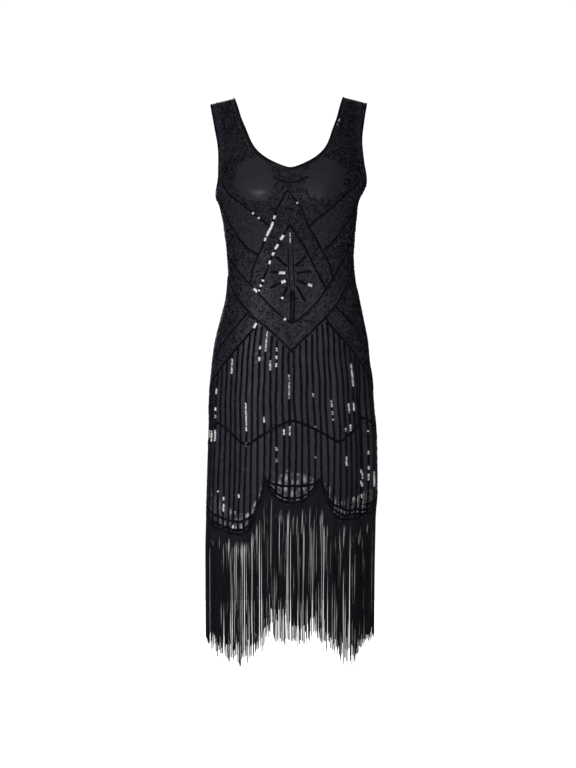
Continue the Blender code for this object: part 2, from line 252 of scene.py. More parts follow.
def form_normal(face, side, turn, height):
    """Outward directions of the form, from close neighbours on it."""
    face, side, turn, height = np.broadcast_arrays(face, side, np.asarray(turn, float), height)
    here = form(face, side, turn, height)
    after = form(face, side, np.minimum(turn + NORMAL_STEP, SIDE_TURN), height)
    before = form(face, side, np.maximum(turn - NORMAL_STEP, 0), height)
    normal = np.cross(after - before, form(face, side, turn, height - NORMAL_STEP) - here)
    facing = (normal * outward(face, side, turn)).sum(-1, keepdims=True)
    normal = normal * np.where(facing < 0, -1, 1)
    normal[..., 1] = np.where(turn >= SIDE_TURN, 0, normal[..., 1])
    over = np.stack([side * RIDGE_SLOPE, 0 * side, 0 * side + 1.0], -1)
    on_ridge = shoulder_ridge(here[..., 0]) - height < NORMAL_STEP
    return unit(np.where(on_ridge[..., None], over, normal))


SEAM_HALF_GAP = 0.15


def on_cloth(face, side, turn, height, lift=0.0):
    """Points at a distance off the form, clear of the seams by half their gap."""
    points = form(face, side, turn, height)
    near = np.abs(points[..., 1]) < SEAM_HALF_GAP
    points[..., 1] = np.where(near, face * SEAM_HALF_GAP, points[..., 1])
    return points + form_normal(face, side, turn, height) * np.asarray(lift)[..., None]


print("the middle of the bust is", form(FRONT, RIGHT, 0.0, -212.0).round(1))

# %% [markdown]
# ## The cut
# A dressmaker cuts a panel from flat cloth: scooped at the neck, hollowed for the arms, and
# scalloped at the hem. Here the same edges are curves on the form. Each hem is made of legs, from
# a low point to a high one, and the power of a leg sets its shape: 1 is straight, and 3 is a flat
# scallop that turns up steeply to a cusp.

# %% Neck and armholes
NECK_HALF_WIDTHS = (0.0, 20.0, 46.5, 65.5, 77.5, 87.5, 96.8, 103.7, 111.0)
NECK_HEIGHTS = (-150.0, -144.6, -131.0, -115.0, -97.0, -70.5, -46.0, -21.0, 3.0)
BACK_NECK_SHARE = 0.93
ARMHOLE_SHARES = (0.0, 0.05, 0.125, 0.25, 0.5, 0.75, 1.0)
ARMHOLE_INSETS = (0.0, 2.0, 6.0, 13.5, 22.0, 19.5, 13.8)
ARMHOLE_LOW = {LEFT: -199.0, RIGHT: -171.0}
RIDGE_REPEATS = 8

neck_shares = np.linspace(0, 1, len(NECK_HEIGHTS))
neck_half_width = Curve(neck_shares, NECK_HALF_WIDTHS)
neck_height = Curve(neck_shares, NECK_HEIGHTS)
neck_height.slopes[0] = 0.0  # level in the middle
armhole_inset = Curve(ARMHOLE_SHARES, ARMHOLE_INSETS)


def turn_of(width_share):
    """The turn at which a ring has this share of its half width."""
    return np.degrees(np.arcsin(np.clip(width_share, 0, 1) ** (RING_SQUARENESS / 2)))


def neck_edge(face, side, share):
    """Turns and heights along the neck, from its middle up to the shoulder."""
    top = NECK_HEIGHTS[-1]
    half = neck_half_width(share)
    height = top + (neck_height(share) - top) * (1.0 if face == FRONT else BACK_NECK_SHARE)
    ridge = shoulder_ridge(middle_at(height) + side * half)
    height = np.where(share >= 1, ridge, height)
    return turn_of(half / half_width_at(height)), height


def armhole_edge(face, side, share):
    """The same along an armhole, from its lowest point up."""
    top = RIDGE_HEIGHT
    for _ in range(RIDGE_REPEATS):
        half = half_width_at(top) - ARMHOLE_INSETS[-1]
        top = shoulder_ridge(middle_at(top) + side * half)
    height = between(ARMHOLE_LOW[side], top, share)
    half = half_width_at(height)
    return turn_of(np.maximum(half - armhole_inset(share), 0) / half), height


EDGE_SAMPLES = 400


def travel(points):
    """The distance travelled along some points, at each of them."""
    steps = np.linalg.norm(np.diff(points, axis=0), axis=1)
    return np.concatenate([[0], np.cumsum(steps)])


def spaced_edge(edge, face, side, count):
    """Places on an edge that are equally far apart."""
    share = np.linspace(0, 1, EDGE_SAMPLES + 1)
    turn, height = edge(face, side, share)
    travelled = travel(form(face, side, turn, height))
    wanted = np.interp(np.linspace(0, travelled[-1], count + 1), travelled, share)
    return edge(face, side, wanted)


# %% The hems
class Leg(NamedTuple):
    low_turn: float
    low: float
    high_turn: float
    high: float
    power: float


def legs(*rows):
    return [Leg(*row) for row in rows]


SHELL_HEM = {
    (FRONT, LEFT): legs(
        (0, -801, 16, -762, 2.2), (38, -864, 16, -762, 3.6), (38, -864, 90, -826, 1.3),
    ),
    (FRONT, RIGHT): legs(
        (0, -801, 17, -762, 2.2), (39, -835, 17, -762, 3.0), (39, -835, 90, -802, 1.6),
    ),
    (BACK, LEFT): legs(
        (0, -823, 16, -783, 2.2), (38, -884, 16, -783, 3.0), (38, -884, 90, -826, 1.3),
    ),
    (BACK, RIGHT): legs(
        (0, -823, 17, -783, 2.2), (39, -856, 17, -783, 3.0), (39, -856, 90, -802, 1.6),
    ),
}
LINING_HEM = {
    (FRONT, LEFT): legs(
        (0, -741, 4.5, -727, 1.0), (8, -758, 4.5, -727, 1.0), (8, -758, 17.5, -757, 1.0),
        (31, -822, 17.5, -757, 2.0), (31, -822, 90, -724, 1.5),
    ),
    (FRONT, RIGHT): legs(
        (15, -743, 0, -741, 1.0), (15, -743, 18, -735, 1.0), (32, -800, 18, -735, 1.5),
        (32, -800, 36, -791, 1.0), (36, -791, 90, -748, 1.8),
    ),
    (BACK, LEFT): legs(
        (36, -790, 0, -738, 2.0), (36, -790, 90, -724, 1.8),
    ),
    (BACK, RIGHT): legs(
        (36, -780, 0, -738, 2.0), (36, -780, 90, -748, 1.8),
    ),
}


def hem_height(hems, face, side, turn):
    turn = np.asarray(turn, float)
    height = np.full(turn.shape, np.nan)
    for leg in reversed(hems[face, side]):
        share = (turn - leg.low_turn) / (leg.high_turn - leg.low_turn)
        spans = (share >= 0) & (share <= 1)
        curved = between(leg.low, leg.high, np.clip(share, 0, 1) ** leg.power)
        height = np.where(spans, curved, height)
    return height


# %% [markdown]
# ## Panels of cloth
# A panel is a grid primitive whose points are moved onto the form. Rows run from the hem to the
# shoulder, and fan out in the yoke between neck and armhole, as the threads of a fitted garment
# do. Solidify then gives the sheet its thickness. The grid's own UV map is filled with real
# lengths, in metres, round the ring and along the height, so that a weave keeps its scale.

# %% Places on a grid
WAIST_ROW_TOP, HEM_ROW_TOP = -280.0, -700.0


def half_panel(face, side, hems, counts):
    """Turns and heights of one half of a panel, row by row from the hem to the shoulder."""
    turns = np.linspace(0, SIDE_TURN, counts.columns + 1)
    shares = turns / SIDE_TURN
    hem = hem_height(hems, face, side, turns)
    rows = [(turns, between(hem, HEM_ROW_TOP, k / counts.hem)) for k in range(counts.hem)]
    for k in range(counts.skirt):
        height = between(HEM_ROW_TOP, WAIST_ROW_TOP, k / counts.skirt)
        rows.append((turns, np.full_like(turns, height)))
    neck = np.array(spaced_edge(neck_edge, face, side, counts.yoke))
    armhole = np.array(spaced_edge(armhole_edge, face, side, counts.yoke))
    for k in range(counts.bust):
        share = k / counts.bust
        low = between(WAIST_ROW_TOP, neck[1, 0], share)
        high = between(WAIST_ROW_TOP, armhole[1, 0], share)
        rows.append((turns, between(low, high, shares)))
    for k in range(counts.yoke + 1):
        rows.append(tuple(between(neck[i, k], armhole[i, k], shares) for i in (0, 1)))
    return np.array(rows).transpose(1, 0, 2)


class Counts(NamedTuple):
    """How many cells a half panel has across, and in each stretch of its height."""

    columns: int
    hem: int
    skirt: int
    bust: int
    yoke: int


# %% Editing
def deselect_all():
    for thing in bpy.context.selected_objects:
        thing.select_set(False)


def points_of(mesh):
    return np.array([vertex.co for vertex in mesh.vertices])


def set_mode(mode):
    bpy.ops.object.mode_set(mode=mode)


def edit_chosen(kind, elements, chosen):
    """Edit the active mesh, with only the chosen ones of its faces or edges selected."""
    set_mode("EDIT")
    bpy.ops.mesh.select_mode(type=kind)
    bpy.ops.mesh.select_all(action="DESELECT")
    set_mode("OBJECT")
    elements.foreach_set("select", chosen)
    set_mode("EDIT")


# %% One panel
def ring_lengths(face, side, turn, height):
    """Distances round the ring from the middle of the face, a row at a time."""
    points = form(face, side, turn, height)
    steps = np.linalg.norm(np.diff(points, axis=1), axis=2)
    return np.concatenate([np.zeros((len(steps), 1)), np.cumsum(steps, axis=1)], axis=1)


def cloth_panel(name, face, hems, counts, lift, thickness):
    points, lengths = [], []
    for side in (LEFT, RIGHT):
        turn, height = half_panel(face, side, hems, counts)
        place = on_cloth(face, side, turn, height, np.full(turn.shape, lift))
        length = side * ring_lengths(face, side, turn, height)
        points.append(place[:, ::side])
        lengths.append(length[:, ::side])
    points, lengths = np.concatenate(points, axis=1), np.concatenate(lengths, axis=1)
    if face == BACK:
        points, lengths = points[:, ::-1], lengths[:, ::-1]
    rows, columns = lengths.shape

    deselect_all()
    bpy.ops.mesh.primitive_grid_add(x_subdivisions=columns - 1, y_subdivisions=rows - 1)
    panel = bpy.context.object
    panel.name = panel.data.name = name
    mesh = panel.data
    corners = points_of(mesh)
    order = np.lexsort((corners[:, 0].round(5), corners[:, 1].round(5)))
    placed = np.empty((rows * columns, 3))
    placed[order] = points.reshape(-1, 3)
    cut = np.empty((rows * columns, 2))
    cut[order] = np.stack([lengths, points[..., 2]], -1).reshape(-1, 2)
    column = np.empty(rows * columns, int)
    column[order] = np.arange(rows * columns) % columns
    mesh.vertices.foreach_set("co", (placed * MM).ravel())
    corner = np.empty(len(mesh.loops), np.int32)
    mesh.loops.foreach_get("vertex_index", corner)
    mesh.uv_layers[0].data.foreach_set("uv", (cut[corner] * MM).ravel())

    # The two halves have a middle column each, and the faces between them close the neck.
    of_faces = column[corner].reshape(-1, 4)
    between_halves = (of_faces.min(1) == columns // 2 - 1) & (of_faces.max(1) == columns // 2)
    edit_chosen("FACE", mesh.polygons, between_halves)
    bpy.ops.mesh.delete(type="FACE")
    bpy.ops.mesh.select_all(action="SELECT")
    bpy.ops.mesh.remove_doubles(threshold=0.01 * MM)
    set_mode("OBJECT")
    wall = panel.modifiers.new("wall", "SOLIDIFY")
    wall.thickness = thickness * MM
    wall.offset = 0
    bpy.ops.object.modifier_apply(modifier=wall.name)
    bpy.ops.object.shade_smooth()
    print(f"{name}: {len(panel.data.polygons)} faces")
    return panel


# %% Sheer shells and opaque linings
SHELL_COUNTS = Counts(columns=44, hem=12, skirt=36, bust=16, yoke=40)
LINING_COUNTS = Counts(columns=34, hem=12, skirt=28, bust=14, yoke=34)
SHELL_WALL, LINING_WALL = 0.12, 0.6
LINING_LIFT = -1.8
FACES = {FRONT: "front", BACK: "back"}

shells = {}
linings = {}
for face, word in FACES.items():
    shells[face] = cloth_panel(f"sheer_{word}", face, SHELL_HEM, SHELL_COUNTS, 0.0, SHELL_WALL)
    linings[face] = cloth_panel(
        f"underdress_{word}", face, LINING_HEM, LINING_COUNTS, LINING_LIFT, LINING_WALL
    )

# %% [markdown]
# ## Bindings
# A raw edge of net is enclosed in a narrow bias strip, stitched down all round. A torus is already
# a closed strip with a round section, so each binding is a torus whose points are moved: the large
# angle picks a place on the edge, and the small one a place on a flattened section beside it. The
# hand stitches pull the strip in a little here and there.

# %% Places by bearing
def quarter(bearing):
    """The face, side and turn of a bearing round the whole ring."""
    bearing = turned(bearing)
    face = np.where(np.abs(bearing) <= SIDE_TURN, FRONT, BACK)
    side = np.where(bearing >= 0, RIGHT, LEFT)
    turn = np.where(face == FRONT, np.abs(bearing), 180 - np.abs(bearing))
    return face, side, turn


def on_dress(bearing, height, lift=0.0):
    face, side, turn = quarter(bearing)
    lift = np.broadcast_to(np.asarray(lift, float), np.shape(turn))
    return on_cloth(face, side, turn, height, lift)


def normal_at(bearing, height):
    return form_normal(*quarter(bearing), height)


def place_of(points):
    """The bearing and height on the form beside each point."""
    x, y, height = points[..., 0], points[..., 1], points[..., 2]
    across = (x - middle_at(height)) / half_width_at(height)
    deep = np.where(y < 0, front_at(height) + cup_fullness(x, height), back_at(height))
    before = -y / (deep * np.maximum(cap_share(shoulder_ridge(x) - height), 0.05))
    power = RING_SQUARENESS / 2
    across, before = (np.sign(v) * np.abs(v) ** power for v in (across, before))
    return np.degrees(np.arctan2(across, before)), height


# %% The binding strips
BINDING_CENTRE, BINDING_HALF_WIDTH = 1.5, 2.0  # from the cut edge, away from the cloth
BINDING_SINK, BINDING_HALF_DEPTH = -0.85, 1.7
BINDING_SQUARENESS = 3.0
PUCKER_PITCH, PUCKER = 13.0, 0.06
BINDING_SIDES = 12
NECK_STEPS, ARMHOLE_STEPS = 64, 110  # points on each quarter of an edge
NORMAL_ROUNDS = 6  # how often the strip's normals are evened out


def edge_bearings(edge, face, side, count, upwards):
    turn, height = spaced_edge(edge, face, side, count)
    bearing = bearing_of(face, side, turn)
    return (bearing, height) if upwards else (bearing[::-1], height[::-1])


def edge_ring(edge, quarters, count):
    """Places round a closed edge, from the edges of its quarters, each point once."""
    runs = []
    for index, (face, side) in enumerate(quarters):
        bearing, height = edge_bearings(edge, face, side, count, index % 2 == 0)
        runs.append((bearing[:-1], height[:-1]))
    return [np.concatenate(column) for column in zip(*runs)]


def binding_strip(name, ring):
    bearing, height = ring
    count = len(bearing)
    path, normal = on_dress(bearing, height), normal_at(bearing, height)
    for _ in range(NORMAL_ROUNDS):
        normal = unit(normal * 2 + np.roll(normal, 1, 0) + np.roll(normal, -1, 0))
    along = unit(np.roll(path, -1, 0) - np.roll(path, 1, 0))
    away = unit(np.cross(normal, along))
    towards_middle = ((path.mean(0) - path) * away).sum(-1).sum()
    away = away * np.sign(towards_middle)
    steps = np.linalg.norm(np.roll(path, -1, 0) - path, axis=1)
    length = np.cumsum(steps)

    deselect_all()
    bpy.ops.mesh.primitive_torus_add(
        major_segments=count, minor_segments=BINDING_SIDES, major_radius=1.0, minor_radius=0.2
    )
    strip = bpy.context.object
    strip.name = strip.data.name = name
    corners = points_of(strip.data)
    large = np.arctan2(corners[:, 1], corners[:, 0])
    small = np.arctan2(corners[:, 2], np.hypot(corners[:, 0], corners[:, 1]) - 1.0)
    place = np.round(large / (2 * np.pi) * count).astype(int) % count
    power = 2 / BINDING_SQUARENESS
    out, up = (np.sign(v) * np.abs(v) ** power for v in (np.cos(small), np.sin(small)))
    pull = 1 - PUCKER * np.cos(2 * np.pi * length[place] / PUCKER_PITCH)
    points = path[place] + away[place] * (BINDING_CENTRE + BINDING_HALF_WIDTH * out)[:, None]
    lift = BINDING_SINK + BINDING_HALF_DEPTH * up * pull
    points += normal[place] * lift[:, None]
    strip.data.vertices.foreach_set("co", (points * MM).ravel())
    set_mode("EDIT")
    bpy.ops.mesh.select_all(action="SELECT")
    bpy.ops.mesh.normals_make_consistent(inside=False)
    set_mode("OBJECT")
    bpy.ops.object.shade_smooth()
    print(f"{name}: {length[-1]:.0f} mm long, {len(strip.data.polygons)} faces")
    return strip


NECK_QUARTERS = ((FRONT, LEFT), (BACK, LEFT), (BACK, RIGHT), (FRONT, RIGHT))
neck_strip = binding_strip("neck_strip", edge_ring(neck_edge, NECK_QUARTERS, NECK_STEPS))
armhole_strips = {
    side: binding_strip(
        f"armhole_strip_{word}",
        edge_ring(armhole_edge, ((FRONT, side), (BACK, side)), ARMHOLE_STEPS),
    )
    for side, word in ((LEFT, "left"), (RIGHT, "right"))
}

# %% [markdown]
# ## The layout of the beadwork
# Beaders prick their pattern from a drawing on paper. Here the drawing is a set of lines, each a
# few points of turn and height, and the same on all four quarters of the dress: a pointed arch
# with a fan below it, a deep chevron, bands that cross the hips, and scallops at the hem. These
# are stock figures of the 1920s. The dress doesn't hang quite straight, so its right side rides up
# at the waist.

# %% Lines of the drawing
BUST_DIAGONAL = ((16, -260), (34.5, -227), (47.6, -204), (57.5, -182), (63, -166))
ARCH = ((0, -194), (4, -211), (8.8, -230), (13.3, -258), (19.8, -284), (25.2, -306), (30.5, -325),
        (34.7, -343), (36.8, -365), (37.5, -376))  # fmt: skip
INNER_ARCH = ((0, -259), (4.6, -278), (10.4, -300), (13.9, -315), (17.4, -332), (24.5, -370),
              (28.5, -389))  # fmt: skip
CHEVRON_TOP = ((0, -449.5), (5.2, -440), (30, -387), (47, -357), (60, -337), (68, -326),
               (90, -300))  # fmt: skip
CHEVRON_BOTTOM = ((0, -504), (6.5, -483), (18, -457), (26.5, -443), (43.5, -414), (66, -377),
                  (90, -342))  # fmt: skip
WAIST_DIAGONAL = ((29.5, -314), (40.7, -300), (53, -274), (65, -244), (76, -214))
HIP_TOP = ((36, -427), (38.5, -433), (55, -475), (72, -513), (90, -548))
HIP_BOTTOM = ((25.5, -445), (29, -462), (40, -493), (51, -519), (57, -531), (72, -560),
              (90, -590))  # fmt: skip
SMALL_ARC_TURN, SMALL_ARC_LOW, SMALL_ARC_RISE = 10.5, -178.0, 11.0
FAN_STEM = ((1.5, -303), (1.5, -378))
FAN_ROOT = ((0.8, -387), (0.8, -446))
FAN_TOP = ((0.0, -272), (0.0, -292))
FAN_RAYS = (
    ((3.6, -337), (7, -329), (11.1, -320)),
    ((3.6, -352), (10, -350), (15.8, -349)),
    ((3.6, -366), (10, -373), (16.8, -380)),
    ((3.4, -380), (5.8, -393), (8.3, -406)),
)

RIDE_UP = 33.0
RIDE_SPAN = ((-600, 0.0), (-480, 1.0), (-300, 1.0), (-228, 0.0))


def ride_up(bearing, height):
    """How far the right side of the beadwork lies above the left."""
    places, values = zip(*RIDE_SPAN)
    right = np.maximum(np.sin(np.radians(bearing)), 0)
    return RIDE_UP * right**2 * np.interp(height, places, values)


LINE_STEPS = 120


def drawn(line, face, side):
    """A smooth line of the drawing as many places on one quarter of the dress."""
    line = np.array(line, float)
    travelled = np.cumsum(np.hypot(*np.diff(line, axis=0, prepend=line[:1]).T))
    at = np.linspace(0, travelled[-1], LINE_STEPS + 1)
    turn, height = (Curve(travelled, column)(at) for column in line.T)
    bearing = bearing_of(face, side, turn)
    return bearing, height + ride_up(bearing, height)


QUARTERS = [(face, side) for face in (FRONT, BACK) for side in (LEFT, RIGHT)]

# %% [markdown]
# ## Sequins and beads
# A sequin is a thin dished disc, and a bead is a small round. Each is modelled once from a
# primitive, with few faces because thousands are sewn on, and its mesh is copied to every place
# by array sums.
# Hand-sewn sequins overlap like tiles and never lie quite flat. Their small tilts, which drift
# along a row, are what breaks a reflection into glints.

# %% The models that are copied
SEQUIN_RADIUS, SEQUIN_DEPTH = 2.05, 0.20
FLAT_DISH, CUP_DISH = 0.03, 0.06
CUP_SLOPE = CUP_DISH / SEQUIN_RADIUS
FACES_UP = 0.9  # the least upward part of the normal of a sequin's own face
BEAD_RADIUS = 1.1


def model_of(thing):
    """The points and triangles of a small thing, which is then put away."""
    points = points_of(thing.data)
    faces = np.array([face.vertices for face in thing.data.polygons])
    bpy.data.objects.remove(thing)
    return points, faces


def sequin_model(dish):
    """A disc whose middle is pressed in by this much."""
    deselect_all()
    bpy.ops.mesh.primitive_cone_add(
        vertices=8, radius1=SEQUIN_RADIUS, radius2=0, depth=SEQUIN_DEPTH, rotation=(math.pi, 0, 0)
    )
    sequin = bpy.context.object
    bpy.ops.object.transform_apply(rotation=True, location=False, scale=False)
    disc = sequin.data.polygons
    edit_chosen("FACE", disc, [face.normal.z > FACES_UP for face in disc])
    bpy.ops.mesh.poke(offset=-dish)
    set_mode("OBJECT")
    return model_of(sequin)


flat_sequin, cupped_sequin = sequin_model(FLAT_DISH), sequin_model(CUP_DISH)
bpy.ops.mesh.primitive_ico_sphere_add(subdivisions=1, radius=BEAD_RADIUS)
bead_model = model_of(bpy.context.object)
print("faces of a sequin and a bead:", len(flat_sequin[1]), len(bead_model[1]))


# %% Rows of places
class Places(NamedTuple):
    """Where things are sewn on, which way the row runs, how they tilt, and how large they are."""

    bearing: np.ndarray
    height: np.ndarray
    along: np.ndarray
    tilt: np.ndarray
    size: np.ndarray


def merged(groups):
    return Places(*(np.concatenate(column) for column in zip(*groups)))


def row(line, pitch):
    """Places at one pitch along a line of bearings and heights."""
    bearing, height = line
    length = travel(on_dress(bearing, height))
    count = max(int(length[-1] // pitch), 1)
    at = (length[-1] - count * pitch) / 2 + pitch * np.arange(count + 1)
    return np.interp(at, length, bearing), np.interp(at, length, height)


SHOULDER_CLEAR = 5.0


def beside(line, distance):
    """The line that runs beside another one on the cloth, up to the shoulder."""
    bearing, height = line
    points = on_dress(bearing, height)
    below = shoulder_ridge(points[:, 0]) - height > SHOULDER_CLEAR
    bearing, height, points = bearing[below], height[below], points[below]
    sideways = unit(np.cross(normal_at(bearing, height), np.gradient(points, axis=0)))
    bearing, height = place_of(points + sideways * distance)
    return np.degrees(np.unwrap(np.radians(bearing))), height


TILE_TILT, DRIFT_TILT, LOOSE_TILT = 0.06, 0.08, 0.06
SIZE_STRAY = 0.12
DRIFT_EVERY = 9  # things between two turns of a row's drift


def sewn_rows(lines, pitch, chance, size=1.0):
    """All the rows along some lines, with tilts that drift along each of them."""
    rows = []
    for line in lines:
        bearing, height = row(line, pitch * size)
        points = on_dress(bearing, height)
        count = len(points)
        knots = chance.normal(0, DRIFT_TILT, (2, count // DRIFT_EVERY + 2))
        at = np.arange(count) / DRIFT_EVERY
        drift = np.stack([np.interp(at, np.arange(knots.shape[1]), knot) for knot in knots], -1)
        tilt = drift + chance.normal(0, LOOSE_TILT, (count, 2)) + (TILE_TILT, 0)
        along = unit(np.gradient(points, axis=0))
        sizes = size * chance.uniform(1 - SIZE_STRAY, 1 + SIZE_STRAY, count)
        rows.append(Places(bearing, height, along, tilt, sizes))
    return merged(rows)


def split_faces(places):
    """The places on the front and those on the back."""
    face = quarter(places.bearing)[0]
    return {key: Places(*(column[face == key] for column in places)) for key in FACES}


# %% Joined meshes
def joined(name, points, faces, smooth):
    mesh = bpy.data.meshes.new(name)
    mesh.from_pydata(points * MM, [], faces)
    mesh.polygons.foreach_set("use_smooth", np.full(len(faces), smooth))
    piece = bpy.data.objects.new(name, mesh)
    bpy.context.collection.objects.link(piece)
    print(f"{name}: {len(faces)} faces")
    return piece


def mark(piece, name, values):
    """Give each point of a piece a number that its finish reads."""
    piece.data.attributes.new(name, "FLOAT", "POINT").data.foreach_set("value", values)


SEWN_STRAY = 0.25  # off its line


def sew(name, model, places, lift, chance, smooth=False):
    """One joined mesh of copies of a model, each with its own tilt and its own variety."""
    model_points, model_faces = model
    up = normal_at(places.bearing, places.height)
    centre = on_dress(places.bearing, places.height) + up * lift
    across = unit(np.cross(up, places.along))
    along = np.cross(across, up)
    centre += across * chance.normal(0, SEWN_STRAY, (len(centre), 1))
    up = unit(up + along * places.tilt[:, :1] + across * places.tilt[:, 1:])
    across = unit(np.cross(up, along))
    axes = np.stack([np.cross(across, up), across, up], axis=1)
    points = centre[:, None] + (model_points @ axes) * places.size[:, None, None]
    first = len(model_points) * np.arange(len(centre))
    faces = (model_faces + first[:, None, None]).reshape(-1, model_faces.shape[1])
    piece = joined(name, points.reshape(-1, 3), faces, smooth)
    mark(piece, "variety", np.repeat(chance.random(len(centre)), len(model_points)))
    return piece


# %% [markdown]
# ## Borders, stripes and scallops
# The dark lines of the drawing are rows of black sequins, and fine gunmetal beads edge some of
# them. On the skirt the rows run straight down, about 12 mm apart, under a wave of pointed
# scallops. Two rows follow the hem, and a third arches over them.

# %% Lines on the skirt
STRIPES_A_FACE, STRIPE_RING, STRIPE_STRAY = 36, -560.0, 0.35
HEM_INSETS = (2.5, 11.0)
HEM_RISES = {
    (FRONT, LEFT): (
        (0, 36), (8, 29.5), (12, 20), (14, 14), (16, 5), (21, 13), (28, 28), (38, 27), (90, 24)
    ),
    (FRONT, RIGHT): (
        (0, 36), (8, 29.5), (12, 20), (15, 14), (17, 5), (22, 12), (30, 24), (39, 20), (90, 20)
    ),
    (BACK, LEFT): ((0, 13), (16, 8), (24, 12), (60, 13), (90, 24)),
    (BACK, RIGHT): ((0, 13), (17, 8), (25, 12), (60, 13), (90, 20)),
}  # fmt: skip
WAVE_SPAN, WAVE_TROUGH, WAVE_RISE, WAVE_POWER = 60.0, -686.0, 48.0, 1.1
WAVE_BLUNT = 9  # steps of the ring over which its points are rounded
WAVE_ROUNDS, WAVE_TILT = 2, 6.0  # how often they are rounded, and how far its right side rides up
RING_STEPS = 1440
STRIPE_FROM_TOP, STRIPE_FROM_HEM, STRIPE_STEPS = 6, 7, 200
STRIPE_SWAY, STRIPE_SWAY_LENGTH, STRIPE_SWAY_RIPENS = 0.25, 37, 60


def level(line, turn):
    """The height of a line of the drawing at a turn."""
    turns, heights = zip(*line)
    return np.interp(turn, turns, heights)


def stripe_top(turn):
    return np.where(turn < HIP_BOTTOM[0][0], level(CHEVRON_BOTTOM, turn), level(HIP_BOTTOM, turn))


def by_quarter(bearing, value_of):
    """A value at each place, from a function of its quarter and its turn."""
    face, side, turn = quarter(bearing)
    value = np.zeros_like(turn, float)
    for key in QUARTERS:
        here = (face == key[0]) & (side == key[1])
        value[here] = value_of(key, turn[here])
    return value


def hem_at(bearing):
    return by_quarter(bearing, lambda key, turn: hem_height(SHELL_HEM, *key, turn))


chance = np.random.default_rng(1926)
whole_ring = np.linspace(-180, 180, RING_STEPS + 1)
stray = chance.uniform(-STRIPE_STRAY, STRIPE_STRAY, STRIPES_A_FACE)
stripe_bearings = []
for first, strays in ((-SIDE_TURN, stray), (SIDE_TURN, -stray[::-1])):
    half_ring = np.linspace(first, first + 180, RING_STEPS // 2 + 1)
    girth = travel(on_dress(half_ring, np.full_like(half_ring, STRIPE_RING)))
    stripe_at = (np.arange(STRIPES_A_FACE) + 0.5) * girth[-1] / STRIPES_A_FACE
    stripe_bearings += list(turned(np.interp(stripe_at, girth, half_ring) + strays))
    print(f"stripes {girth[-1] / STRIPES_A_FACE:.1f} mm apart on {girth[-1]:.0f} mm")
stripes = []
for bearing in stripe_bearings:
    turn = quarter(np.array([bearing]))[2]
    top = stripe_top(turn)[0]
    top += ride_up(bearing, top)
    low_end = hem_at(np.array([bearing]))[0] + STRIPE_FROM_HEM
    height = np.linspace(top - STRIPE_FROM_TOP, low_end, STRIPE_STEPS)
    ripe = smoothstep((top - height) / STRIPE_SWAY_RIPENS)
    sway = STRIPE_SWAY * np.sin(height / STRIPE_SWAY_LENGTH + bearing) * ripe
    stripes.append((bearing + sway, height))

wave_away = np.abs(turned(whole_ring * 360 / WAVE_SPAN)) / 180
wave_height = WAVE_TROUGH + WAVE_RISE * (1 - wave_away**WAVE_POWER)
for _ in range(WAVE_ROUNDS):
    padded = np.pad(wave_height[:-1], WAVE_BLUNT, mode="wrap")
    blunt = np.convolve(padded, np.full(2 * WAVE_BLUNT + 1, 1 / (2 * WAVE_BLUNT + 1)), "valid")
    wave_height = np.append(blunt, blunt[0])
wave_height = wave_height + WAVE_TILT * np.sin(np.radians(whole_ring))
wave = (whole_ring, wave_height)
hem_lines = [(whole_ring, hem_at(whole_ring) + inset) for inset in HEM_INSETS]
hem_rise = by_quarter(whole_ring, lambda key, turn: level(HEM_RISES[key], turn))
hem_arc = (whole_ring, hem_at(whole_ring) + hem_rise)

# %% Lines on the bodice
NECK_ROW_IN, ARMHOLE_ROWS_IN, EDGING_OUT = 2.6, (2.4, 9.0, 12.0), 3.3

borders, rays, edgings = [], [], []
small_rows = [drawn(FAN_TOP, face, RIGHT) for face in FACES]
for key in QUARTERS:
    for line in (ARCH, INNER_ARCH, CHEVRON_TOP, CHEVRON_BOTTOM, HIP_TOP, HIP_BOTTOM):
        borders.append(drawn(line, *key))
    borders += [drawn(WAIST_DIAGONAL, *key), drawn(FAN_ROOT, *key)]
    rays += [drawn(line, *key) for line in FAN_RAYS]
    bust = drawn(BUST_DIAGONAL, *key)
    borders.append(bust)
    edgings.append(beside(bust, EDGING_OUT))
    neck = edge_bearings(neck_edge, *key, LINE_STEPS, True)
    armhole = edge_bearings(armhole_edge, *key, LINE_STEPS, True)
    inwards = -key[0] * key[1]
    small_rows += [beside(neck, -NECK_ROW_IN * inwards), drawn(FAN_STEM, *key)]
    edgings += [beside(armhole, distance * inwards) for distance in ARMHOLE_ROWS_IN]
small_arc = np.linspace(-SMALL_ARC_TURN, SMALL_ARC_TURN, 41)
borders.append((small_arc, SMALL_ARC_LOW + SMALL_ARC_RISE * (small_arc / SMALL_ARC_TURN) ** 2))

# %% [markdown]
# ## Fields of curled beading
# Between the borders the net is filled with vermicelli, short curls of seed beads that wander in
# all directions. A loose grid of starting points covers the dress, each one grows a curl, and the
# drawing decides which beads are kept: close curls in the bands, single dots under the arch, and
# bare net on the cups.

# %% What fills a place
BARE, DOTS, GRAIN, CURLS, FINE = range(5)
EDGE_CLEAR = 4.0
CUP_MIDDLE, CUP_BARE_OUT, CUP_BARE_WIDTH = -3.0, 68.0, 40.0
CUP_BARE_HEIGHT, CUP_BARE_RISE = -169.0, 43.0
STRAP_LOW, GRAIN_END, CLOTH_TOP = -150.0, 72, -8
ARMHOLE_SAMPLES = 20


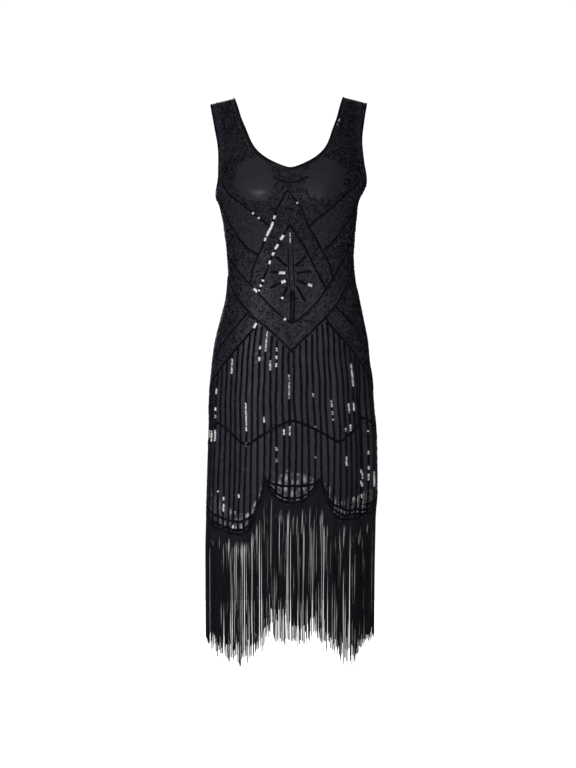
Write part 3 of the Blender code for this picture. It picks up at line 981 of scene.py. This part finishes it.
def on_panel(face, side, turn, height):
    """Whether a place is on the cloth, clear of the neck and armholes."""
    neck_turn, neck_z = neck_edge(face, side, neck_shares)
    arm_turn, arm_z = armhole_edge(face, side, np.linspace(0, 1, ARMHOLE_SAMPLES))
    below_neck = height < np.interp(turn, neck_turn, neck_z) - EDGE_CLEAR
    clear = np.where(height < arm_z[0], turn, np.interp(height, arm_z, arm_turn) - EDGE_CLEAR / 2)
    past_neck = turn > np.interp(height, neck_z, neck_turn) + EDGE_CLEAR / 2
    return (below_neck | past_neck) & (turn <= clear) & (height < CLOTH_TOP)


def on_cup(bearing, height):
    x = on_dress(bearing, height)[:, 0]
    across = (np.abs(x - CUP_MIDDLE) - CUP_BARE_OUT) / CUP_BARE_WIDTH
    up = (height - CUP_BARE_HEIGHT) / CUP_BARE_RISE
    return (quarter(bearing)[0] == FRONT) & (across**2 + up**2 < 1)


def filling(bearing, height):
    """What the drawing asks for at each place."""
    face, side, turn = quarter(bearing)
    drawn_at = height - ride_up(bearing, height)
    past_bust = drawn_at < level(BUST_DIAGONAL, turn)
    past_waist = drawn_at < level(WAIST_DIAGONAL, turn)
    beside_arch = (turn > ARCH[-1][0]) | (drawn_at > level(ARCH, turn))
    in_fan = (turn < INNER_ARCH[-1][0]) & (drawn_at < level(INNER_ARCH, turn))
    kind = np.where(height > STRAP_LOW, FINE, CURLS)
    kind = np.where(past_bust & beside_arch & ~past_waist & (turn < GRAIN_END), GRAIN, kind)
    kind = np.where(in_fan & (drawn_at > level(CHEVRON_TOP, turn)), DOTS, kind)
    kind = np.where(drawn_at < stripe_top(turn), BARE, kind)
    for key in QUARTERS:
        here = (face == key[0]) & (side == key[1])
        kind = np.where(here & ~on_panel(*key, turn, height), BARE, kind)
    return kind


# %% Curls and dots
CURL_BEADS, CURL_PITCH, CURL_TURN = 9, 2.2, 0.85
CURL_GRID, FINE_GRID, DOT_GRID, GRAIN_GRID = 10.8, 6.9, 5.0, 5.6
CURL_SIZE, FINE_SIZE, DOT_SIZE, GRAIN_SIZE = 1.12, 0.9, 1.4, 1.1
FIELD_TOP, FIELD_LOW, FIELD_CLEAR = 0.0, -600.0, 3.9
ROW_PITCH, GRID_STRAY = 0.87, 0.28  # shares of the spacing
BENDS, S_SHARE = (0.55, 1.0), 0.6  # how much a curl bends, and how many are like an S


def loose_grid(spacing, chance):
    """Places about one spacing apart all over the bodice."""
    bearings, heights = [], []
    for index, height in enumerate(np.arange(FIELD_LOW, FIELD_TOP, spacing * ROW_PITCH)):
        length = travel(on_dress(whole_ring, np.full_like(whole_ring, height)))
        at = np.arange(spacing * (index % 2) / 2, length[-1], spacing)
        at = at + chance.uniform(-GRID_STRAY, GRID_STRAY, len(at)) * spacing
        bearings.append(np.interp(at, length, whole_ring))
        heights.append(height + chance.uniform(-GRID_STRAY, GRID_STRAY, len(at)) * spacing)
    return np.concatenate(bearings), np.concatenate(heights)


def curled(spacing, size, chance):
    """Curls of beads all over the bodice, some shaped like a C and others like an S."""
    bearing, height = loose_grid(spacing, chance)
    covered = ~on_cup(bearing, height)
    bearing, height = bearing[covered], height[covered]
    count = len(bearing)
    bend = chance.uniform(*BENDS, (count, 1)) * CURL_TURN * chance.choice((-1, 1), (count, 1))
    flips = chance.random((count, 1)) < S_SHARE
    steps = np.arange(CURL_BEADS)
    bend = np.where(flips & (steps >= CURL_BEADS // 2), -bend, bend)
    heading = chance.uniform(0, 2 * np.pi, (count, 1)) + np.cumsum(bend, axis=1)
    flat = np.cumsum(np.stack([np.cos(heading), np.sin(heading)], -1), axis=1) * CURL_PITCH * size
    flat -= flat.mean(axis=1, keepdims=True)
    normal = normal_at(bearing, height)
    across = unit(np.cross((0.0, 0.0, 1.0), normal))
    frame_of = np.stack([across, np.cross(normal, across)], axis=1)
    points = on_dress(bearing, height)[:, None] + flat @ frame_of
    return place_of(points.reshape(-1, 3))


def kept(bearing, height, kind, size, taken):
    """The places where the drawing asks for this filling, clear of all that is sewn already."""
    wanted = filling(bearing, height) == kind
    bearing, height = bearing[wanted], height[wanted]
    points = on_dress(bearing, height)
    free = np.array([taken.find(point)[2] > FIELD_CLEAR for point in points])
    bearing, height = bearing[free], height[free]
    along = unit(np.cross(normal_at(bearing, height), (0.0, 0.0, 1.0)))
    sizes = np.full(len(bearing), size)
    return Places(bearing, height, along, np.zeros((len(bearing), 2)), sizes)


def tree_of(*all_places):
    points = np.concatenate([on_dress(places.bearing, places.height) for places in all_places])
    tree = KDTree(len(points))
    for index, point in enumerate(points):
        tree.insert(point, index)
    tree.balance()
    return tree


# %% Where a row is turned to the light
class Catch(NamedTuple):
    """A stretch on the front whose thread has turned the sequins to a softbox."""

    x: float
    z: float
    to_x: float
    to_z: float
    share: float


KEY_LIGHT, FILL_LIGHT = (-1720.0, -2756.0, 400.0), (1375.0, -2945.0, 400.0)
NEAR_LIGHT = 0.17  # a tilt this close to a softbox shows it
VIEWPOINT = (-6.0, -3630.0, -568.0)
TURNS_OFF, STRAY_GLINTS, CATCH_END = 6, 0.008, 0.5
STRIPE_GLINT = 0.72  # only the middle of a sequin on a stripe lies flat enough to shine
LONG_CATCH, ASKEW = 8.0, 0.7  # a row that crosses a long catch isn't turned
LEAST_UP = 0.2
BORDER_REACH, BORDER_LOOSE = 4.5, 0.012
STRIPE_REACH, STRIPE_LOOSE = 6.0, 0.035
BORDER_CATCHES = [Catch(*row) for row in (
    (-36, -253, -49, -279, 1), (-51, -281, -53, -286, 0.8), (-31, -242, -32, -246, 0.6),
    (-15, -279, -20, -287, 1), (-27, -297, -30, -303, 1), (-32, -311, -36, -317, 1),
    (-41, -328, -44, -333, 1), (-58, -364, -59, -366, 1), (-62, -374, -63, -376, 1),
    (-65, -382, -70, -387, 1), (0, -273, 0, -280, 1), (0, -284, 0, -291, 1),
    (-73, -234, -72, -236, 1), (-62, -243, -60, -245, 1), (-23, -350, -12, -352, 1),
    (-19, -370, -12, -364, 1), (-24, -403, -17, -394, 0.7), (33, -375, 39, -378, 1),
    (-43, -410, -38, -414, 0.5), (-17, -439, -13, -443, 0.8), (-73, -459, -56, -449, 0.9),
    (-96, -208, -98, -212, 0.9), (-112, -238, -110, -234, 0.6), (13, -217, 14.5, -219, 1),
    (-121, -671, -107, -680, 0.7), (94, -48, 89, -60, 0.6), (80, -77, 74, -90, 0.8),
    (140, -790, 144, -797, 0.9), (62, -732, 56, -748, 0.3),
)]  # fmt: skip


# The same on one stripe: its x, the top and the low end of the stretch, and the share
STRIPE_CATCHES = [Catch(x, top, x, low, share) for x, top, low, share in (
    (-45, -467, -504, 0.85), (-44, -523, -541, 0.9), (-72, -482, -497, 0.8),
    (-57, -491, -523, 0.7), (-23, -499, -503, 0.7), (-23, -512, -536, 0.7),
    (-116, -519, -546, 0.7), (118, -527, -573, 0.85), (118, -601, -625, 0.8),
    (118, -646, -670, 0.6), (-8, -550, -596, 1), (-8, -652, -668, 0.8), (-147, -578, -587, 0.8),
    (-146, -615, -635, 0.7), (39, -586, -592, 1), (83, -598, -637, 0.5), (-85, -606, -658, 0.95),
    (-54, -633, -664, 0.3), (50, -649, -653, 1), (105, -656, -661, 1), (105, -709, -727, 1),
    (152, -658, -662, 1), (-154, -659, -681, 0.9), (-82, -684, -690, 0.8), (-20, -684, -712, 0.5),
    (-31, -684, -735, 0.5), (51, -710, -714, 0.8), (-106, -784, -788, 0.8), (-142, -777, -782, 1),
    (-136, -790, -817, 0.8), (-111, -845, -850, 1), (138, -727, -800, 0.35),
    (147, -700, -760, 0.3), (160, -740, -785, 0.3),
)]  # fmt: skip


def aimed(places, light):
    """The tilts that would throw a light to the front of the room."""
    points = on_dress(places.bearing, places.height)
    up = normal_at(places.bearing, places.height)
    across = unit(np.cross(up, places.along))
    along = np.cross(across, up)
    towards = unit(unit(np.array(light) - points) + unit(np.array(VIEWPOINT) - points))
    aim = np.stack([(towards * along).sum(-1), (towards * across).sum(-1)], -1)
    return aim / np.maximum((towards * up).sum(-1, keepdims=True), LEAST_UP)


def turned_to_light(places, catches, reach, loose, slope, chance, glint=1.0):
    """The same places: a few catch a softbox, and the others are turned off both of them."""
    points = on_dress(places.bearing, places.height)
    tilt, size = places.tilt.copy(), places.size.copy()
    minded = (chance.random(len(points)) > STRAY_GLINTS)[:, None]
    aims = np.stack([aimed(places, light) for light in (KEY_LIGHT, FILL_LIGHT)])
    for aim in list(aims) * TURNS_OFF:
        away = tilt - aim
        distance = np.linalg.norm(away, axis=1, keepdims=True)
        push = np.maximum(NEAR_LIGHT + slope - distance, 0)
        tilt += np.where(minded, away / distance * push, 0)
    aim = aims[np.linalg.norm(aims, axis=2).argmin(axis=0), np.arange(len(points))]
    aim[:, 1] -= slope * np.sign(aim[:, 1])
    aim += chance.normal(0, loose, aim.shape)
    lots = np.repeat(chance.random(len(points) // 2 + 1), 2)[: len(points)]
    flat = points[:, (0, 2)]
    for catch in catches:
        first, last = np.array([catch.x, catch.z]), np.array([catch.to_x, catch.to_z])
        length = np.linalg.norm(last - first)
        along = (flat - first) @ (last - first) / length
        aside = np.linalg.norm(flat - first - along[:, None] * (last - first) / length, axis=1)
        with_it = np.abs(places.along[:, (0, 2)] @ (last - first)) / length > ASKEW
        on_it = (along > -CATCH_END) & (along < length + CATCH_END) & (aside < reach)
        on_it &= with_it | (length < LONG_CATCH)
        caught = on_it & (points[:, 1] < 0) & (lots < catch.share)
        tilt[caught] = aim[caught]
        size[caught] *= glint
    return places._replace(tilt=tilt, size=size)


# %% Sew everything on
SEQUIN_PITCH, EDGING_PITCH = 2.75, 2.25
STRIPE_SIZE, BORDER_SIZE, RAY_SIZE = 1.35, 1.3, 1.5
WAVE_SIZE, HEM_SIZE, SMALL_SIZE = 1.35, 1.4, 0.6
STRIPE_LIFT, BORDER_LIFT, BEAD_LIFT = 0.75, 1.0, 0.95

stripe_places = sewn_rows(stripes, SEQUIN_PITCH, chance, STRIPE_SIZE)
stripe_places = split_faces(
    turned_to_light(
        stripe_places, STRIPE_CATCHES, STRIPE_REACH, STRIPE_LOOSE, CUP_SLOPE, chance, STRIPE_GLINT
    )
)
border_places = merged(
    sewn_rows(lines, SEQUIN_PITCH, chance, size)
    for lines, size in (
        (borders, BORDER_SIZE),
        (rays, RAY_SIZE),
        ([wave], WAVE_SIZE),
        ([*hem_lines, hem_arc], HEM_SIZE),
        (small_rows, SMALL_SIZE),
    )
)
border_places = turned_to_light(
    border_places, BORDER_CATCHES, BORDER_REACH, BORDER_LOOSE, 0.0, chance
)
edging_places = sewn_rows(edgings, EDGING_PITCH, chance)
taken = tree_of(border_places, edging_places)
curl_places = kept(*curled(CURL_GRID, CURL_SIZE, chance), CURLS, CURL_SIZE, taken)
loose_places = merged((
    kept(*curled(FINE_GRID, FINE_SIZE, chance), FINE, FINE_SIZE, taken),
    kept(*loose_grid(DOT_GRID, chance), DOTS, DOT_SIZE, taken),
    kept(*loose_grid(GRAIN_GRID, chance), GRAIN, GRAIN_SIZE, taken),
))  # fmt: skip

stripe_sequins, border_sequins, gunmetal_beads, seed_beads, loose_beads = {}, {}, {}, {}, {}
SEWN = (
    (stripe_sequins, "stripe_sequins", cupped_sequin, stripe_places, STRIPE_LIFT, False),
    (border_sequins, "border_sequins", flat_sequin, split_faces(border_places), BORDER_LIFT, False),
    (gunmetal_beads, "gunmetal_beads", bead_model, split_faces(edging_places), BEAD_LIFT, True),
    (seed_beads, "seed_beads", bead_model, split_faces(curl_places), BEAD_LIFT, True),
    (loose_beads, "loose_beads", bead_model, split_faces(loose_places), BEAD_LIFT, True),
)
for face, word in FACES.items():
    for pieces, name, model, places, lift, smooth in SEWN:
        pieces[face] = sew(f"{name}_{word}", model, places[face], lift, chance, smooth)

# %% [markdown]
# ## Fringe
# The fringe is cut from a roll of twisted rayon strings and sewn under the hem. Real strings cling
# together and leave gaps, and none is as long as the next. Each one here is a copy of a five-sided
# tube, whose rings follow the string's own path down from the scallops.

# %% One string
STRING_SIDES, STRING_RINGS, STRING_RADIUS = 5, 9, 0.36

deselect_all()
bpy.ops.mesh.primitive_cylinder_add(
    vertices=STRING_SIDES, radius=STRING_RADIUS, depth=1, end_fill_type="NGON"
)
string = bpy.context.object
ends = points_of(string.data)[:, 2]
upright = [abs(np.subtract(*ends[list(edge.vertices)])) > 0.5 for edge in string.data.edges]
edit_chosen("EDGE", string.data.edges, upright)
bpy.ops.mesh.subdivide(number_cuts=STRING_RINGS - 2)
set_mode("OBJECT")
string_points = points_of(string.data)
string_faces = [list(face.vertices) for face in string.data.polygons]
bpy.data.objects.remove(string)
print("faces of a string:", len(string_faces))

# %% The strings of one face
STRINGS, STRING_LIFT, STRING_DEPTH = 860, 0.6, 1.8
STRING_TOP, STRING_JITTER = 2.0, 0.35  # above the hem, under its sequins
ACROSS_STEPS, SPREAD_AT = 721, -900.0  # the height at which the tufts are laid out
THICKNESSES = (0.85, 1.15)
TUFT_WIDTHS, TUFT_MOST = (1.2, 2.8), 600
GAPS = ((-90, 0.55), (-62, 0.8), (-54, 1.8), (-36, 1.5), (-22, 1.15), (-16, 0.5), (-8, 0.55),
        (-4, 0.7), (14, 0.7), (20, 0.5), (27, 0.5), (32, 0.7), (48, 0.85), (56, 0.55),
        (90, 0.5))  # fmt: skip
GAP_STRAY, GAP_SHARE = 0.6, 0.8  # how uneven the gaps are, and the most that one takes of a tuft
GATHERS = 16.0  # the strings are evenly sewn, and cling in tufts from this part of their length on
FRINGE_ENDS = {
    LEFT: ((0, -1068), (8, -1062), (12, -1054), (17, -1078), (22, -1092), (28, -1107), (40, -1107),
           (50, -1099), (58, -1090), (75, -1074), (90, -1064)),
    RIGHT: ((0, -1068), (8, -1073), (14, -1052), (23, -1073), (31, -1095), (46, -1109), (62, -1080),
            (75, -1056), (90, -1064)),
}  # fmt: skip
TUFT_STRAY, END_STRAY, ODD_SHARE, SHORT_BY, LONG_BY = 6.0, 2.0, 0.1, 60.0, 12.0
TUFT_LEAN, TUFT_SWAY, STRING_LEAN, SWAY = 0.45, 0.35, 0.15, 0.12
SWAYS = ((0.4, 1.4), (0.0, 6.3))  # how many waves a tuft has, and where they start
TAU = 2 * math.pi


class Notch(NamedTuple):
    """Where the strings are cut short."""

    at: float
    half_width: float
    end: float


NOTCHES = {FRONT: Notch(-10.5, 0.6, -1004.0), BACK: Notch(-5.0, 3.4, -1040.0)}


def fringe_strings(name, face, chance):
    across = np.linspace(-SIDE_TURN, SIDE_TURN, ACROSS_STEPS)  # the same on both faces at one x
    ring = across if face == FRONT else 180 - across
    length = travel(on_dress(ring, np.full_like(ring, SPREAD_AT)))
    bounds = np.cumsum(chance.uniform(*TUFT_WIDTHS, TUFT_MOST))
    bounds = np.concatenate([[0.0], bounds[bounds < length[-1]], length[-1:]])
    middle, width = (bounds[1:] + bounds[:-1]) / 2, np.diff(bounds)
    gap = level(GAPS, np.interp(middle, length, across))
    gap = gap * chance.uniform(1 - GAP_STRAY, 1 + GAP_STRAY, len(gap))
    closer = 1 - np.minimum(gap / width, GAP_SHARE)
    jitter = chance.uniform(-STRING_JITTER, STRING_JITTER, STRINGS)
    sewn_at = (np.arange(STRINGS) + 0.5 + jitter) / STRINGS * length[-1]
    tuft = np.searchsorted(bounds, sewn_at) - 1
    at = middle[tuft] + (sewn_at - middle[tuft]) * closer[tuft]

    across_at = np.interp(at, length, across)
    left, right = (level(FRINGE_ENDS[side], np.abs(across_at)) for side in (LEFT, RIGHT))
    notch = NOTCHES[face]
    in_notch = np.abs(across_at - notch.at) < notch.half_width
    end = np.where(in_notch, notch.end, np.where(across_at < 0, left, right))
    end += chance.normal(0, TUFT_STRAY, len(width))[tuft] + chance.normal(0, END_STRAY, STRINGS)
    odd = chance.random(STRINGS)
    end += np.where(odd < ODD_SHARE, chance.uniform(0, SHORT_BY, STRINGS), 0)
    end -= np.where(odd > 1 - ODD_SHARE, chance.uniform(0, LONG_BY, STRINGS), 0)
    top = hem_at(np.interp(at, length, ring)) + STRING_TOP

    share = 0.5 - string_points[:, 2]  # from the top of a string to its end
    height = between(top[:, None], end[:, None], share)
    waves, phase = (chance.uniform(low, high, len(width))[tuft] for low, high in SWAYS)
    lean = chance.normal(0, TUFT_LEAN, len(width))[tuft] + chance.normal(0, STRING_LEAN, STRINGS)
    sway = TUFT_SWAY * np.sin(waves[:, None] * share * TAU + phase[:, None])
    own_sway = SWAY * np.sin(share * TAU + TAU * chance.random((STRINGS, 1)))
    drift = share * (lean[:, None] + sway + own_sway)
    still_even = (sewn_at - at)[:, None] * (1 - smoothstep(share * GATHERS))
    bearing = np.interp(at[:, None] + still_even + drift, length, ring)
    depth = STRING_LIFT + STRING_DEPTH * chance.uniform(-1, 1, (STRINGS, 1)) * smoothstep(share * 3)
    centre = on_dress(bearing, height, depth)
    out = normal_at(bearing, height)
    out[..., 2] = 0
    out = unit(out)
    across = np.stack([-out[..., 1], out[..., 0], out[..., 2]], -1)
    thick = chance.uniform(*THICKNESSES, (STRINGS, 1, 1))
    points = centre + (across * string_points[:, :1] + out * string_points[:, 1:2]) * thick
    faces = []
    for index in range(STRINGS):
        first = index * len(string_points)
        faces += [[first + corner for corner in face_] for face_ in string_faces]
    piece = joined(name, points.reshape(-1, 3), faces, True)
    mark(piece, "variety", np.repeat(chance.random(STRINGS), len(string_points)))
    mark(piece, "down", (share * (top - end)[:, None]).ravel() * MM)
    return piece


fringes = {
    face: fringe_strings(f"fringe_strings_{word}", face, chance) for face, word in FACES.items()
}

# %% [markdown]
# ## Finishes
# All the finishes are black, so they differ only in how they take light: net lets it through, knit
# and rayon soften it, satin spreads it, and sequins and glass throw it back. Their maths is
# written as plain expressions. A small class wraps a socket, and each sum adds its Math node.

# %% Shader maths
class Value:
    """One output of a node. Sums with numbers and other values add Math nodes."""

    def __init__(self, finish, socket):
        self.finish, self.socket = finish, socket

    def math(self, operation, *others, clamp=False):
        settings = {"operation": operation, "use_clamp": clamp}
        return self.finish.node("ShaderNodeMath", settings, dict(enumerate((self, *others))))

    def __add__(self, other):
        return self.math("ADD", other)

    def __mul__(self, other):
        return self.math("MULTIPLY", other)

    def __sub__(self, other):
        return self.math("SUBTRACT", other)

    def __rsub__(self, other):
        return self.finish.node("ShaderNodeMath", {"operation": "SUBTRACT"}, {0: other, 1: self})

    __radd__, __rmul__ = __add__, __mul__

    def cosine(self):
        return self.math("COSINE")

    def size(self):
        return self.math("ABSOLUTE")

    def clamped(self):
        return self.math("ADD", 0.0, clamp=True)


class Finish:
    """A material: constants go straight on its shader, and values that vary are linked."""

    def __init__(self, name, **constants):
        self.material = bpy.data.materials.new(name)
        self.material.use_nodes = True
        self.tree = self.material.node_tree
        self.shader = self.tree.nodes["Principled BSDF"]
        for key, value in constants.items():
            self.shader.inputs[key.replace("_", " ")].default_value = value

    def node(self, kind, settings=None, values=None, output=0):
        node = self.tree.nodes.new(kind)
        for key, setting in (settings or {}).items():
            setattr(node, key, setting)
        for key, value in (values or {}).items():
            self.set(node.inputs[key], value)
        return Value(self, node.outputs[output])

    def set(self, socket, value):
        if isinstance(value, Value):
            self.tree.links.new(value.socket, socket)
        else:
            socket.default_value = value

    def feed(self, key, value):
        self.set(self.shader.inputs[key], value)

    def place(self, kind="Object"):
        return self.node("ShaderNodeTexCoord", output=kind)

    def parts(self, vector):
        axes = self.node("ShaderNodeSeparateXYZ", values={0: vector}).socket.node
        return [Value(self, axes.outputs[axis]) for axis in "XYZ"]

    def own(self, name):
        return self.node("ShaderNodeAttribute", {"attribute_name": name}, output="Fac")

    def noise(self, scale, detail=2.0):
        values = {"Vector": self.place(), "Scale": scale, "Detail": detail}
        return self.node("ShaderNodeTexNoise", values=values, output="Fac")

    def mix(self, share, first, second):
        settings = {"data_type": "RGBA"}
        node = self.node("ShaderNodeMix", settings, {0: share}).socket.node
        self.set(node.inputs[6], first)
        self.set(node.inputs[7], second)
        return Value(self, node.outputs[2])

    def bump(self, height, strength, distance):
        values = {"Height": height, "Strength": strength, "Distance": distance}
        self.feed("Normal", self.node("ShaderNodeBump", values=values))

    def varied(self, darkest, palest, smoothest, rougher):
        """Let each sequin, bead or string have its own tone and gloss."""
        self.feed("Base Color", self.mix(self.own("variety"), black(darkest), black(palest)))
        self.feed("Roughness", smoothest + rougher * self.own("variety"))

    def put_on(self, *pieces):
        for piece in pieces:
            piece.data.materials.clear()
            piece.data.materials.append(self.material)


def black(level_, blue=1.45):
    """A near black with a cool cast."""
    return (level_, level_ * 1.05, level_ * blue, 1.0)


# %% [markdown]
# ## Net and knit
# Tulle is a net of six-sided holes. Three waves, turned 60 degrees to each other, add up to a
# honeycomb of hills, and the holes are where the hills are high. The panel's UV map is in metres
# of cloth, so the net has one real size everywhere. The knit of the lining uses the same map: its
# columns of loops are a wave across, broken by a shorter wave down.

# %% Tulle
NET_CELL, HOLE_LEVEL, HOLE_SOFT = 1.1 * MM, 0.36, 0.35

tulle = Finish("black tulle", Roughness=0.48, Specular_IOR_Level=0.18)
across, down, _ = tulle.parts(tulle.place("UV"))
hills = sum(
    (across * (TAU / NET_CELL * math.cos(turn)) + down * (TAU / NET_CELL * math.sin(turn))).cosine()
    for turn in (0.0, TAU / 3, 2 * TAU / 3)
)
thread = ((HOLE_LEVEL + HOLE_SOFT - hills) * (0.5 / HOLE_SOFT)).clamped()
tulle.feed("Alpha", thread)
tulle.feed("Base Color", tulle.mix(tulle.noise(60.0), black(0.018), black(0.025)))
tulle.bump(thread, 0.3, 0.1 * MM)
tulle.put_on(*shells.values())

# %% Lining knit
WALE, COURSE = 0.9 * MM, 0.7 * MM
BUST_HEIGHT, BUST_REACH = -0.205, 0.11  # the knit is stretched smooth here

knit = Finish("lining knit", Roughness=0.5, Specular_IOR_Level=1.0)
across, down, _ = knit.parts(knit.place("UV"))
loops = (across * (TAU / WALE)).cosine() + 0.5 * (down * (TAU / COURSE)).cosine()
knit.feed("Base Color", knit.mix(knit.noise(35.0, 3.0), black(0.036), black(0.048)))
stretched = (1 - (knit.parts(knit.place())[2] - BUST_HEIGHT).size() * (1 / BUST_REACH)).clamped()
knit.feed("Roughness", 0.47 - 0.08 * stretched + 0.06 * knit.noise(90.0))
knit.bump(loops, 0.25, 0.04 * MM)
knit.put_on(*linings.values())

# %% [markdown]
# ## Satin, rayon, sequins and beads
# The binding is satin, whose fine uneven weave breaks up its sheen. Rayon is two plies twisted
# together, so bands run down each string. Sequins, beads and strings carry a random number each,
# so that neighbours differ in gloss and in tone.

# %% Satin binding
satin = Finish("binding satin", Roughness=0.5, Specular_IOR_Level=0.06)
weave = satin.noise(900.0)
satin.feed("Base Color", satin.mix(satin.noise(120.0), black(0.002), black(0.004)))
satin.feed("Roughness", 0.45 + 0.15 * satin.noise(200.0))
satin.bump(weave, 0.35, 0.2 * MM)
satin.put_on(neck_strip, *armhole_strips.values())

# %% Rayon fringe
PLY = 2.6 * MM

rayon = Finish("fringe rayon", Roughness=0.5, Specular_IOR_Level=0.15)
twist = (rayon.own("down") * (TAU / PLY) + TAU * rayon.own("variety")).cosine()
rayon.varied(0.003, 0.014, 0.42, 0.16)
rayon.bump(twist, 0.4, 0.25 * MM)
rayon.put_on(*fringes.values())

# %% Sequins and beads
lacquer = Finish("black sequin", Roughness=0.15, Specular_IOR_Level=0.5)
lacquer.varied(0.002, 0.006, 0.08, 0.07)
lacquer.put_on(*stripe_sequins.values(), *border_sequins.values())

PALE_FROM = 0.72  # the beads past this share are greyer

glass = Finish("black glass bead", Roughness=0.25, Specular_IOR_Level=0.12)
pale = ((glass.own("variety") - PALE_FROM) * (1 / (1 - PALE_FROM))).clamped()
glass.feed("Base Color", glass.mix(pale, black(0.002), black(0.06)))
glass.feed("Roughness", 0.20 + 0.16 * glass.own("variety"))
glass.put_on(*seed_beads.values(), *loose_beads.values())

gunmetal = Finish("gunmetal bead", Metallic=1.0, Roughness=0.25)
gunmetal.varied(0.04, 0.12, 0.18, 0.20)
gunmetal.put_on(*gunmetal_beads.values())

# %% [markdown]
# ## Studio
# Glossy black shows only what it reflects. The studio therefore has dark walls, a paler ceiling,
# and two square softboxes before the dress, which draw the glints and the sheen of the bust. The
# side lamp and the floor light the cloth, but no sequin mirrors them. The backdrop is white to the
# camera alone.

# %% Floor, lights and world
FLOOR_HEIGHT, FLOOR_RADIUS = -1.38, 3.2
AIM = Vector((0.0, 0.0, -0.62))

deselect_all()
bpy.ops.mesh.primitive_circle_add(
    vertices=96, radius=FLOOR_RADIUS, fill_type="NGON", location=(0, 0, FLOOR_HEIGHT)
)
floor = bpy.context.object
floor.name = "studio_floor"
bpy.ops.object.transform_apply(location=True)
paper = Finish("white paper", Roughness=0.9, Base_Color=(0.92, 0.92, 0.92, 1.0))
paper.feed("Emission Color", (1.0, 1.0, 1.0, 1.0))
paper.feed("Emission Strength", 1.0)
paper.put_on(floor)
floor.visible_glossy = False  # or every sequin would mirror it


class Lamp(NamedTuple):
    name: str
    place: tuple
    size: tuple
    power: float
    spread: float = 180.0
    glossy: bool = True


GRID = 45.0  # degrees to which the softboxes' grids narrow their light
LAMPS = (
    Lamp("key", tuple(MM * axis for axis in KEY_LIGHT), (1.4, 0.6), 3.2, GRID),
    Lamp("fill", tuple(MM * axis for axis in FILL_LIGHT), (1.4, 0.6), 2.1, GRID),
    Lamp("side", (-2.4, -2.2, -0.9), (1.2, 1.2), 2.1, GRID, glossy=False),
    Lamp("overhead", (-0.3, -0.4, 1.8), (1.2, 1.2), 4),
    Lamp("back", (-0.8, 2.8, 0.8), (1.2, 1.2), 44),
)
for lamp in LAMPS:
    light = bpy.data.lights.new(lamp.name, "AREA")
    light.shape, light.energy = "RECTANGLE", lamp.power
    light.size, light.size_y = lamp.size
    light.spread = math.radians(lamp.spread)
    holder = bpy.data.objects.new(lamp.name, light)
    holder.location = lamp.place
    holder.rotation_euler = (AIM - holder.location).to_track_quat("-Z", "Y").to_euler()
    holder.visible_glossy = lamp.glossy
    bpy.context.collection.objects.link(holder)

world = bpy.data.worlds.new("studio")
world.use_nodes = True
bpy.context.scene.world = world
tree = world.node_tree
tree.nodes.clear()
KINDS = ("TexCoord", "SeparateXYZ", "MapRange", "ValToRGB", "LightPath", "MixShader", "OutputWorld")
way, axes, rise, ramp, sent, either, out = (tree.nodes.new("ShaderNode" + kind) for kind in KINDS)
walls, backdrop = (tree.nodes.new("ShaderNodeBackground") for _ in range(2))
rise.inputs["From Min"].default_value = -1.0
WALLS = ((0.0, 0.06), (0.40, 0.03), (0.50, 0.02), (0.62, 0.04), (0.80, 0.12), (1.0, 0.2))
stops = ramp.color_ramp.elements
while len(stops) < len(WALLS):
    stops.new(0.5)
for stop, (position, tone) in zip(stops, WALLS):
    stop.position, stop.color = position, (tone, tone, tone, 1.0)
LINKS = (
    (way, "Generated", axes, 0), (axes, "Z", rise, "Value"), (rise, 0, ramp, 0),
    (ramp, 0, walls, "Color"), (sent, "Is Camera Ray", either, 0), (walls, 0, either, 1),
    (backdrop, 0, either, 2), (either, 0, out, 0),
)  # fmt: skip
for first, output, second, socket in LINKS:
    tree.links.new(first.outputs[output], second.inputs[socket])
backdrop.inputs["Color"].default_value = (1.0, 1.0, 1.0, 1.0)
backdrop.inputs["Strength"].default_value = 1.05

# %% Camera
CAMERA_PLACE, CAMERA_LENS, CAMERA_FILM = (-0.006, -3.63, -0.568), 85.08, 36.0

camera = bpy.data.objects.new("camera", bpy.data.cameras.new("camera"))
camera.data.lens, camera.data.sensor_width = CAMERA_LENS, CAMERA_FILM
camera.location, camera.rotation_euler = CAMERA_PLACE, (math.pi / 2, 0, 0)
bpy.context.collection.objects.link(camera)
bpy.context.scene.camera = camera
bpy.context.scene.view_settings.view_transform = "Standard"

# %% [markdown]
# ## The parts and their pieces
# At last each piece is hung on the root body that it moves with, and the plain solids of the frame
# that the pieces replace are hidden.

for face, word in FACES.items():
    trimmings = [pieces[face] for pieces, *_ in SEWN]
    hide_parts(f"shell_{word}")
    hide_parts(f"lining_{word}")
    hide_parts(f"fringe_{word}")
    for piece in (shells[face], linings[face], fringes[face], *trimmings):
        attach(piece, "root")
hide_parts("neck_binding")
for side, word in ((LEFT, "left"), (RIGHT, "right")):
    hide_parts(f"armhole_binding_{word}")
for strip in (neck_strip, *armhole_strips.values()):
    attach(strip, "root")
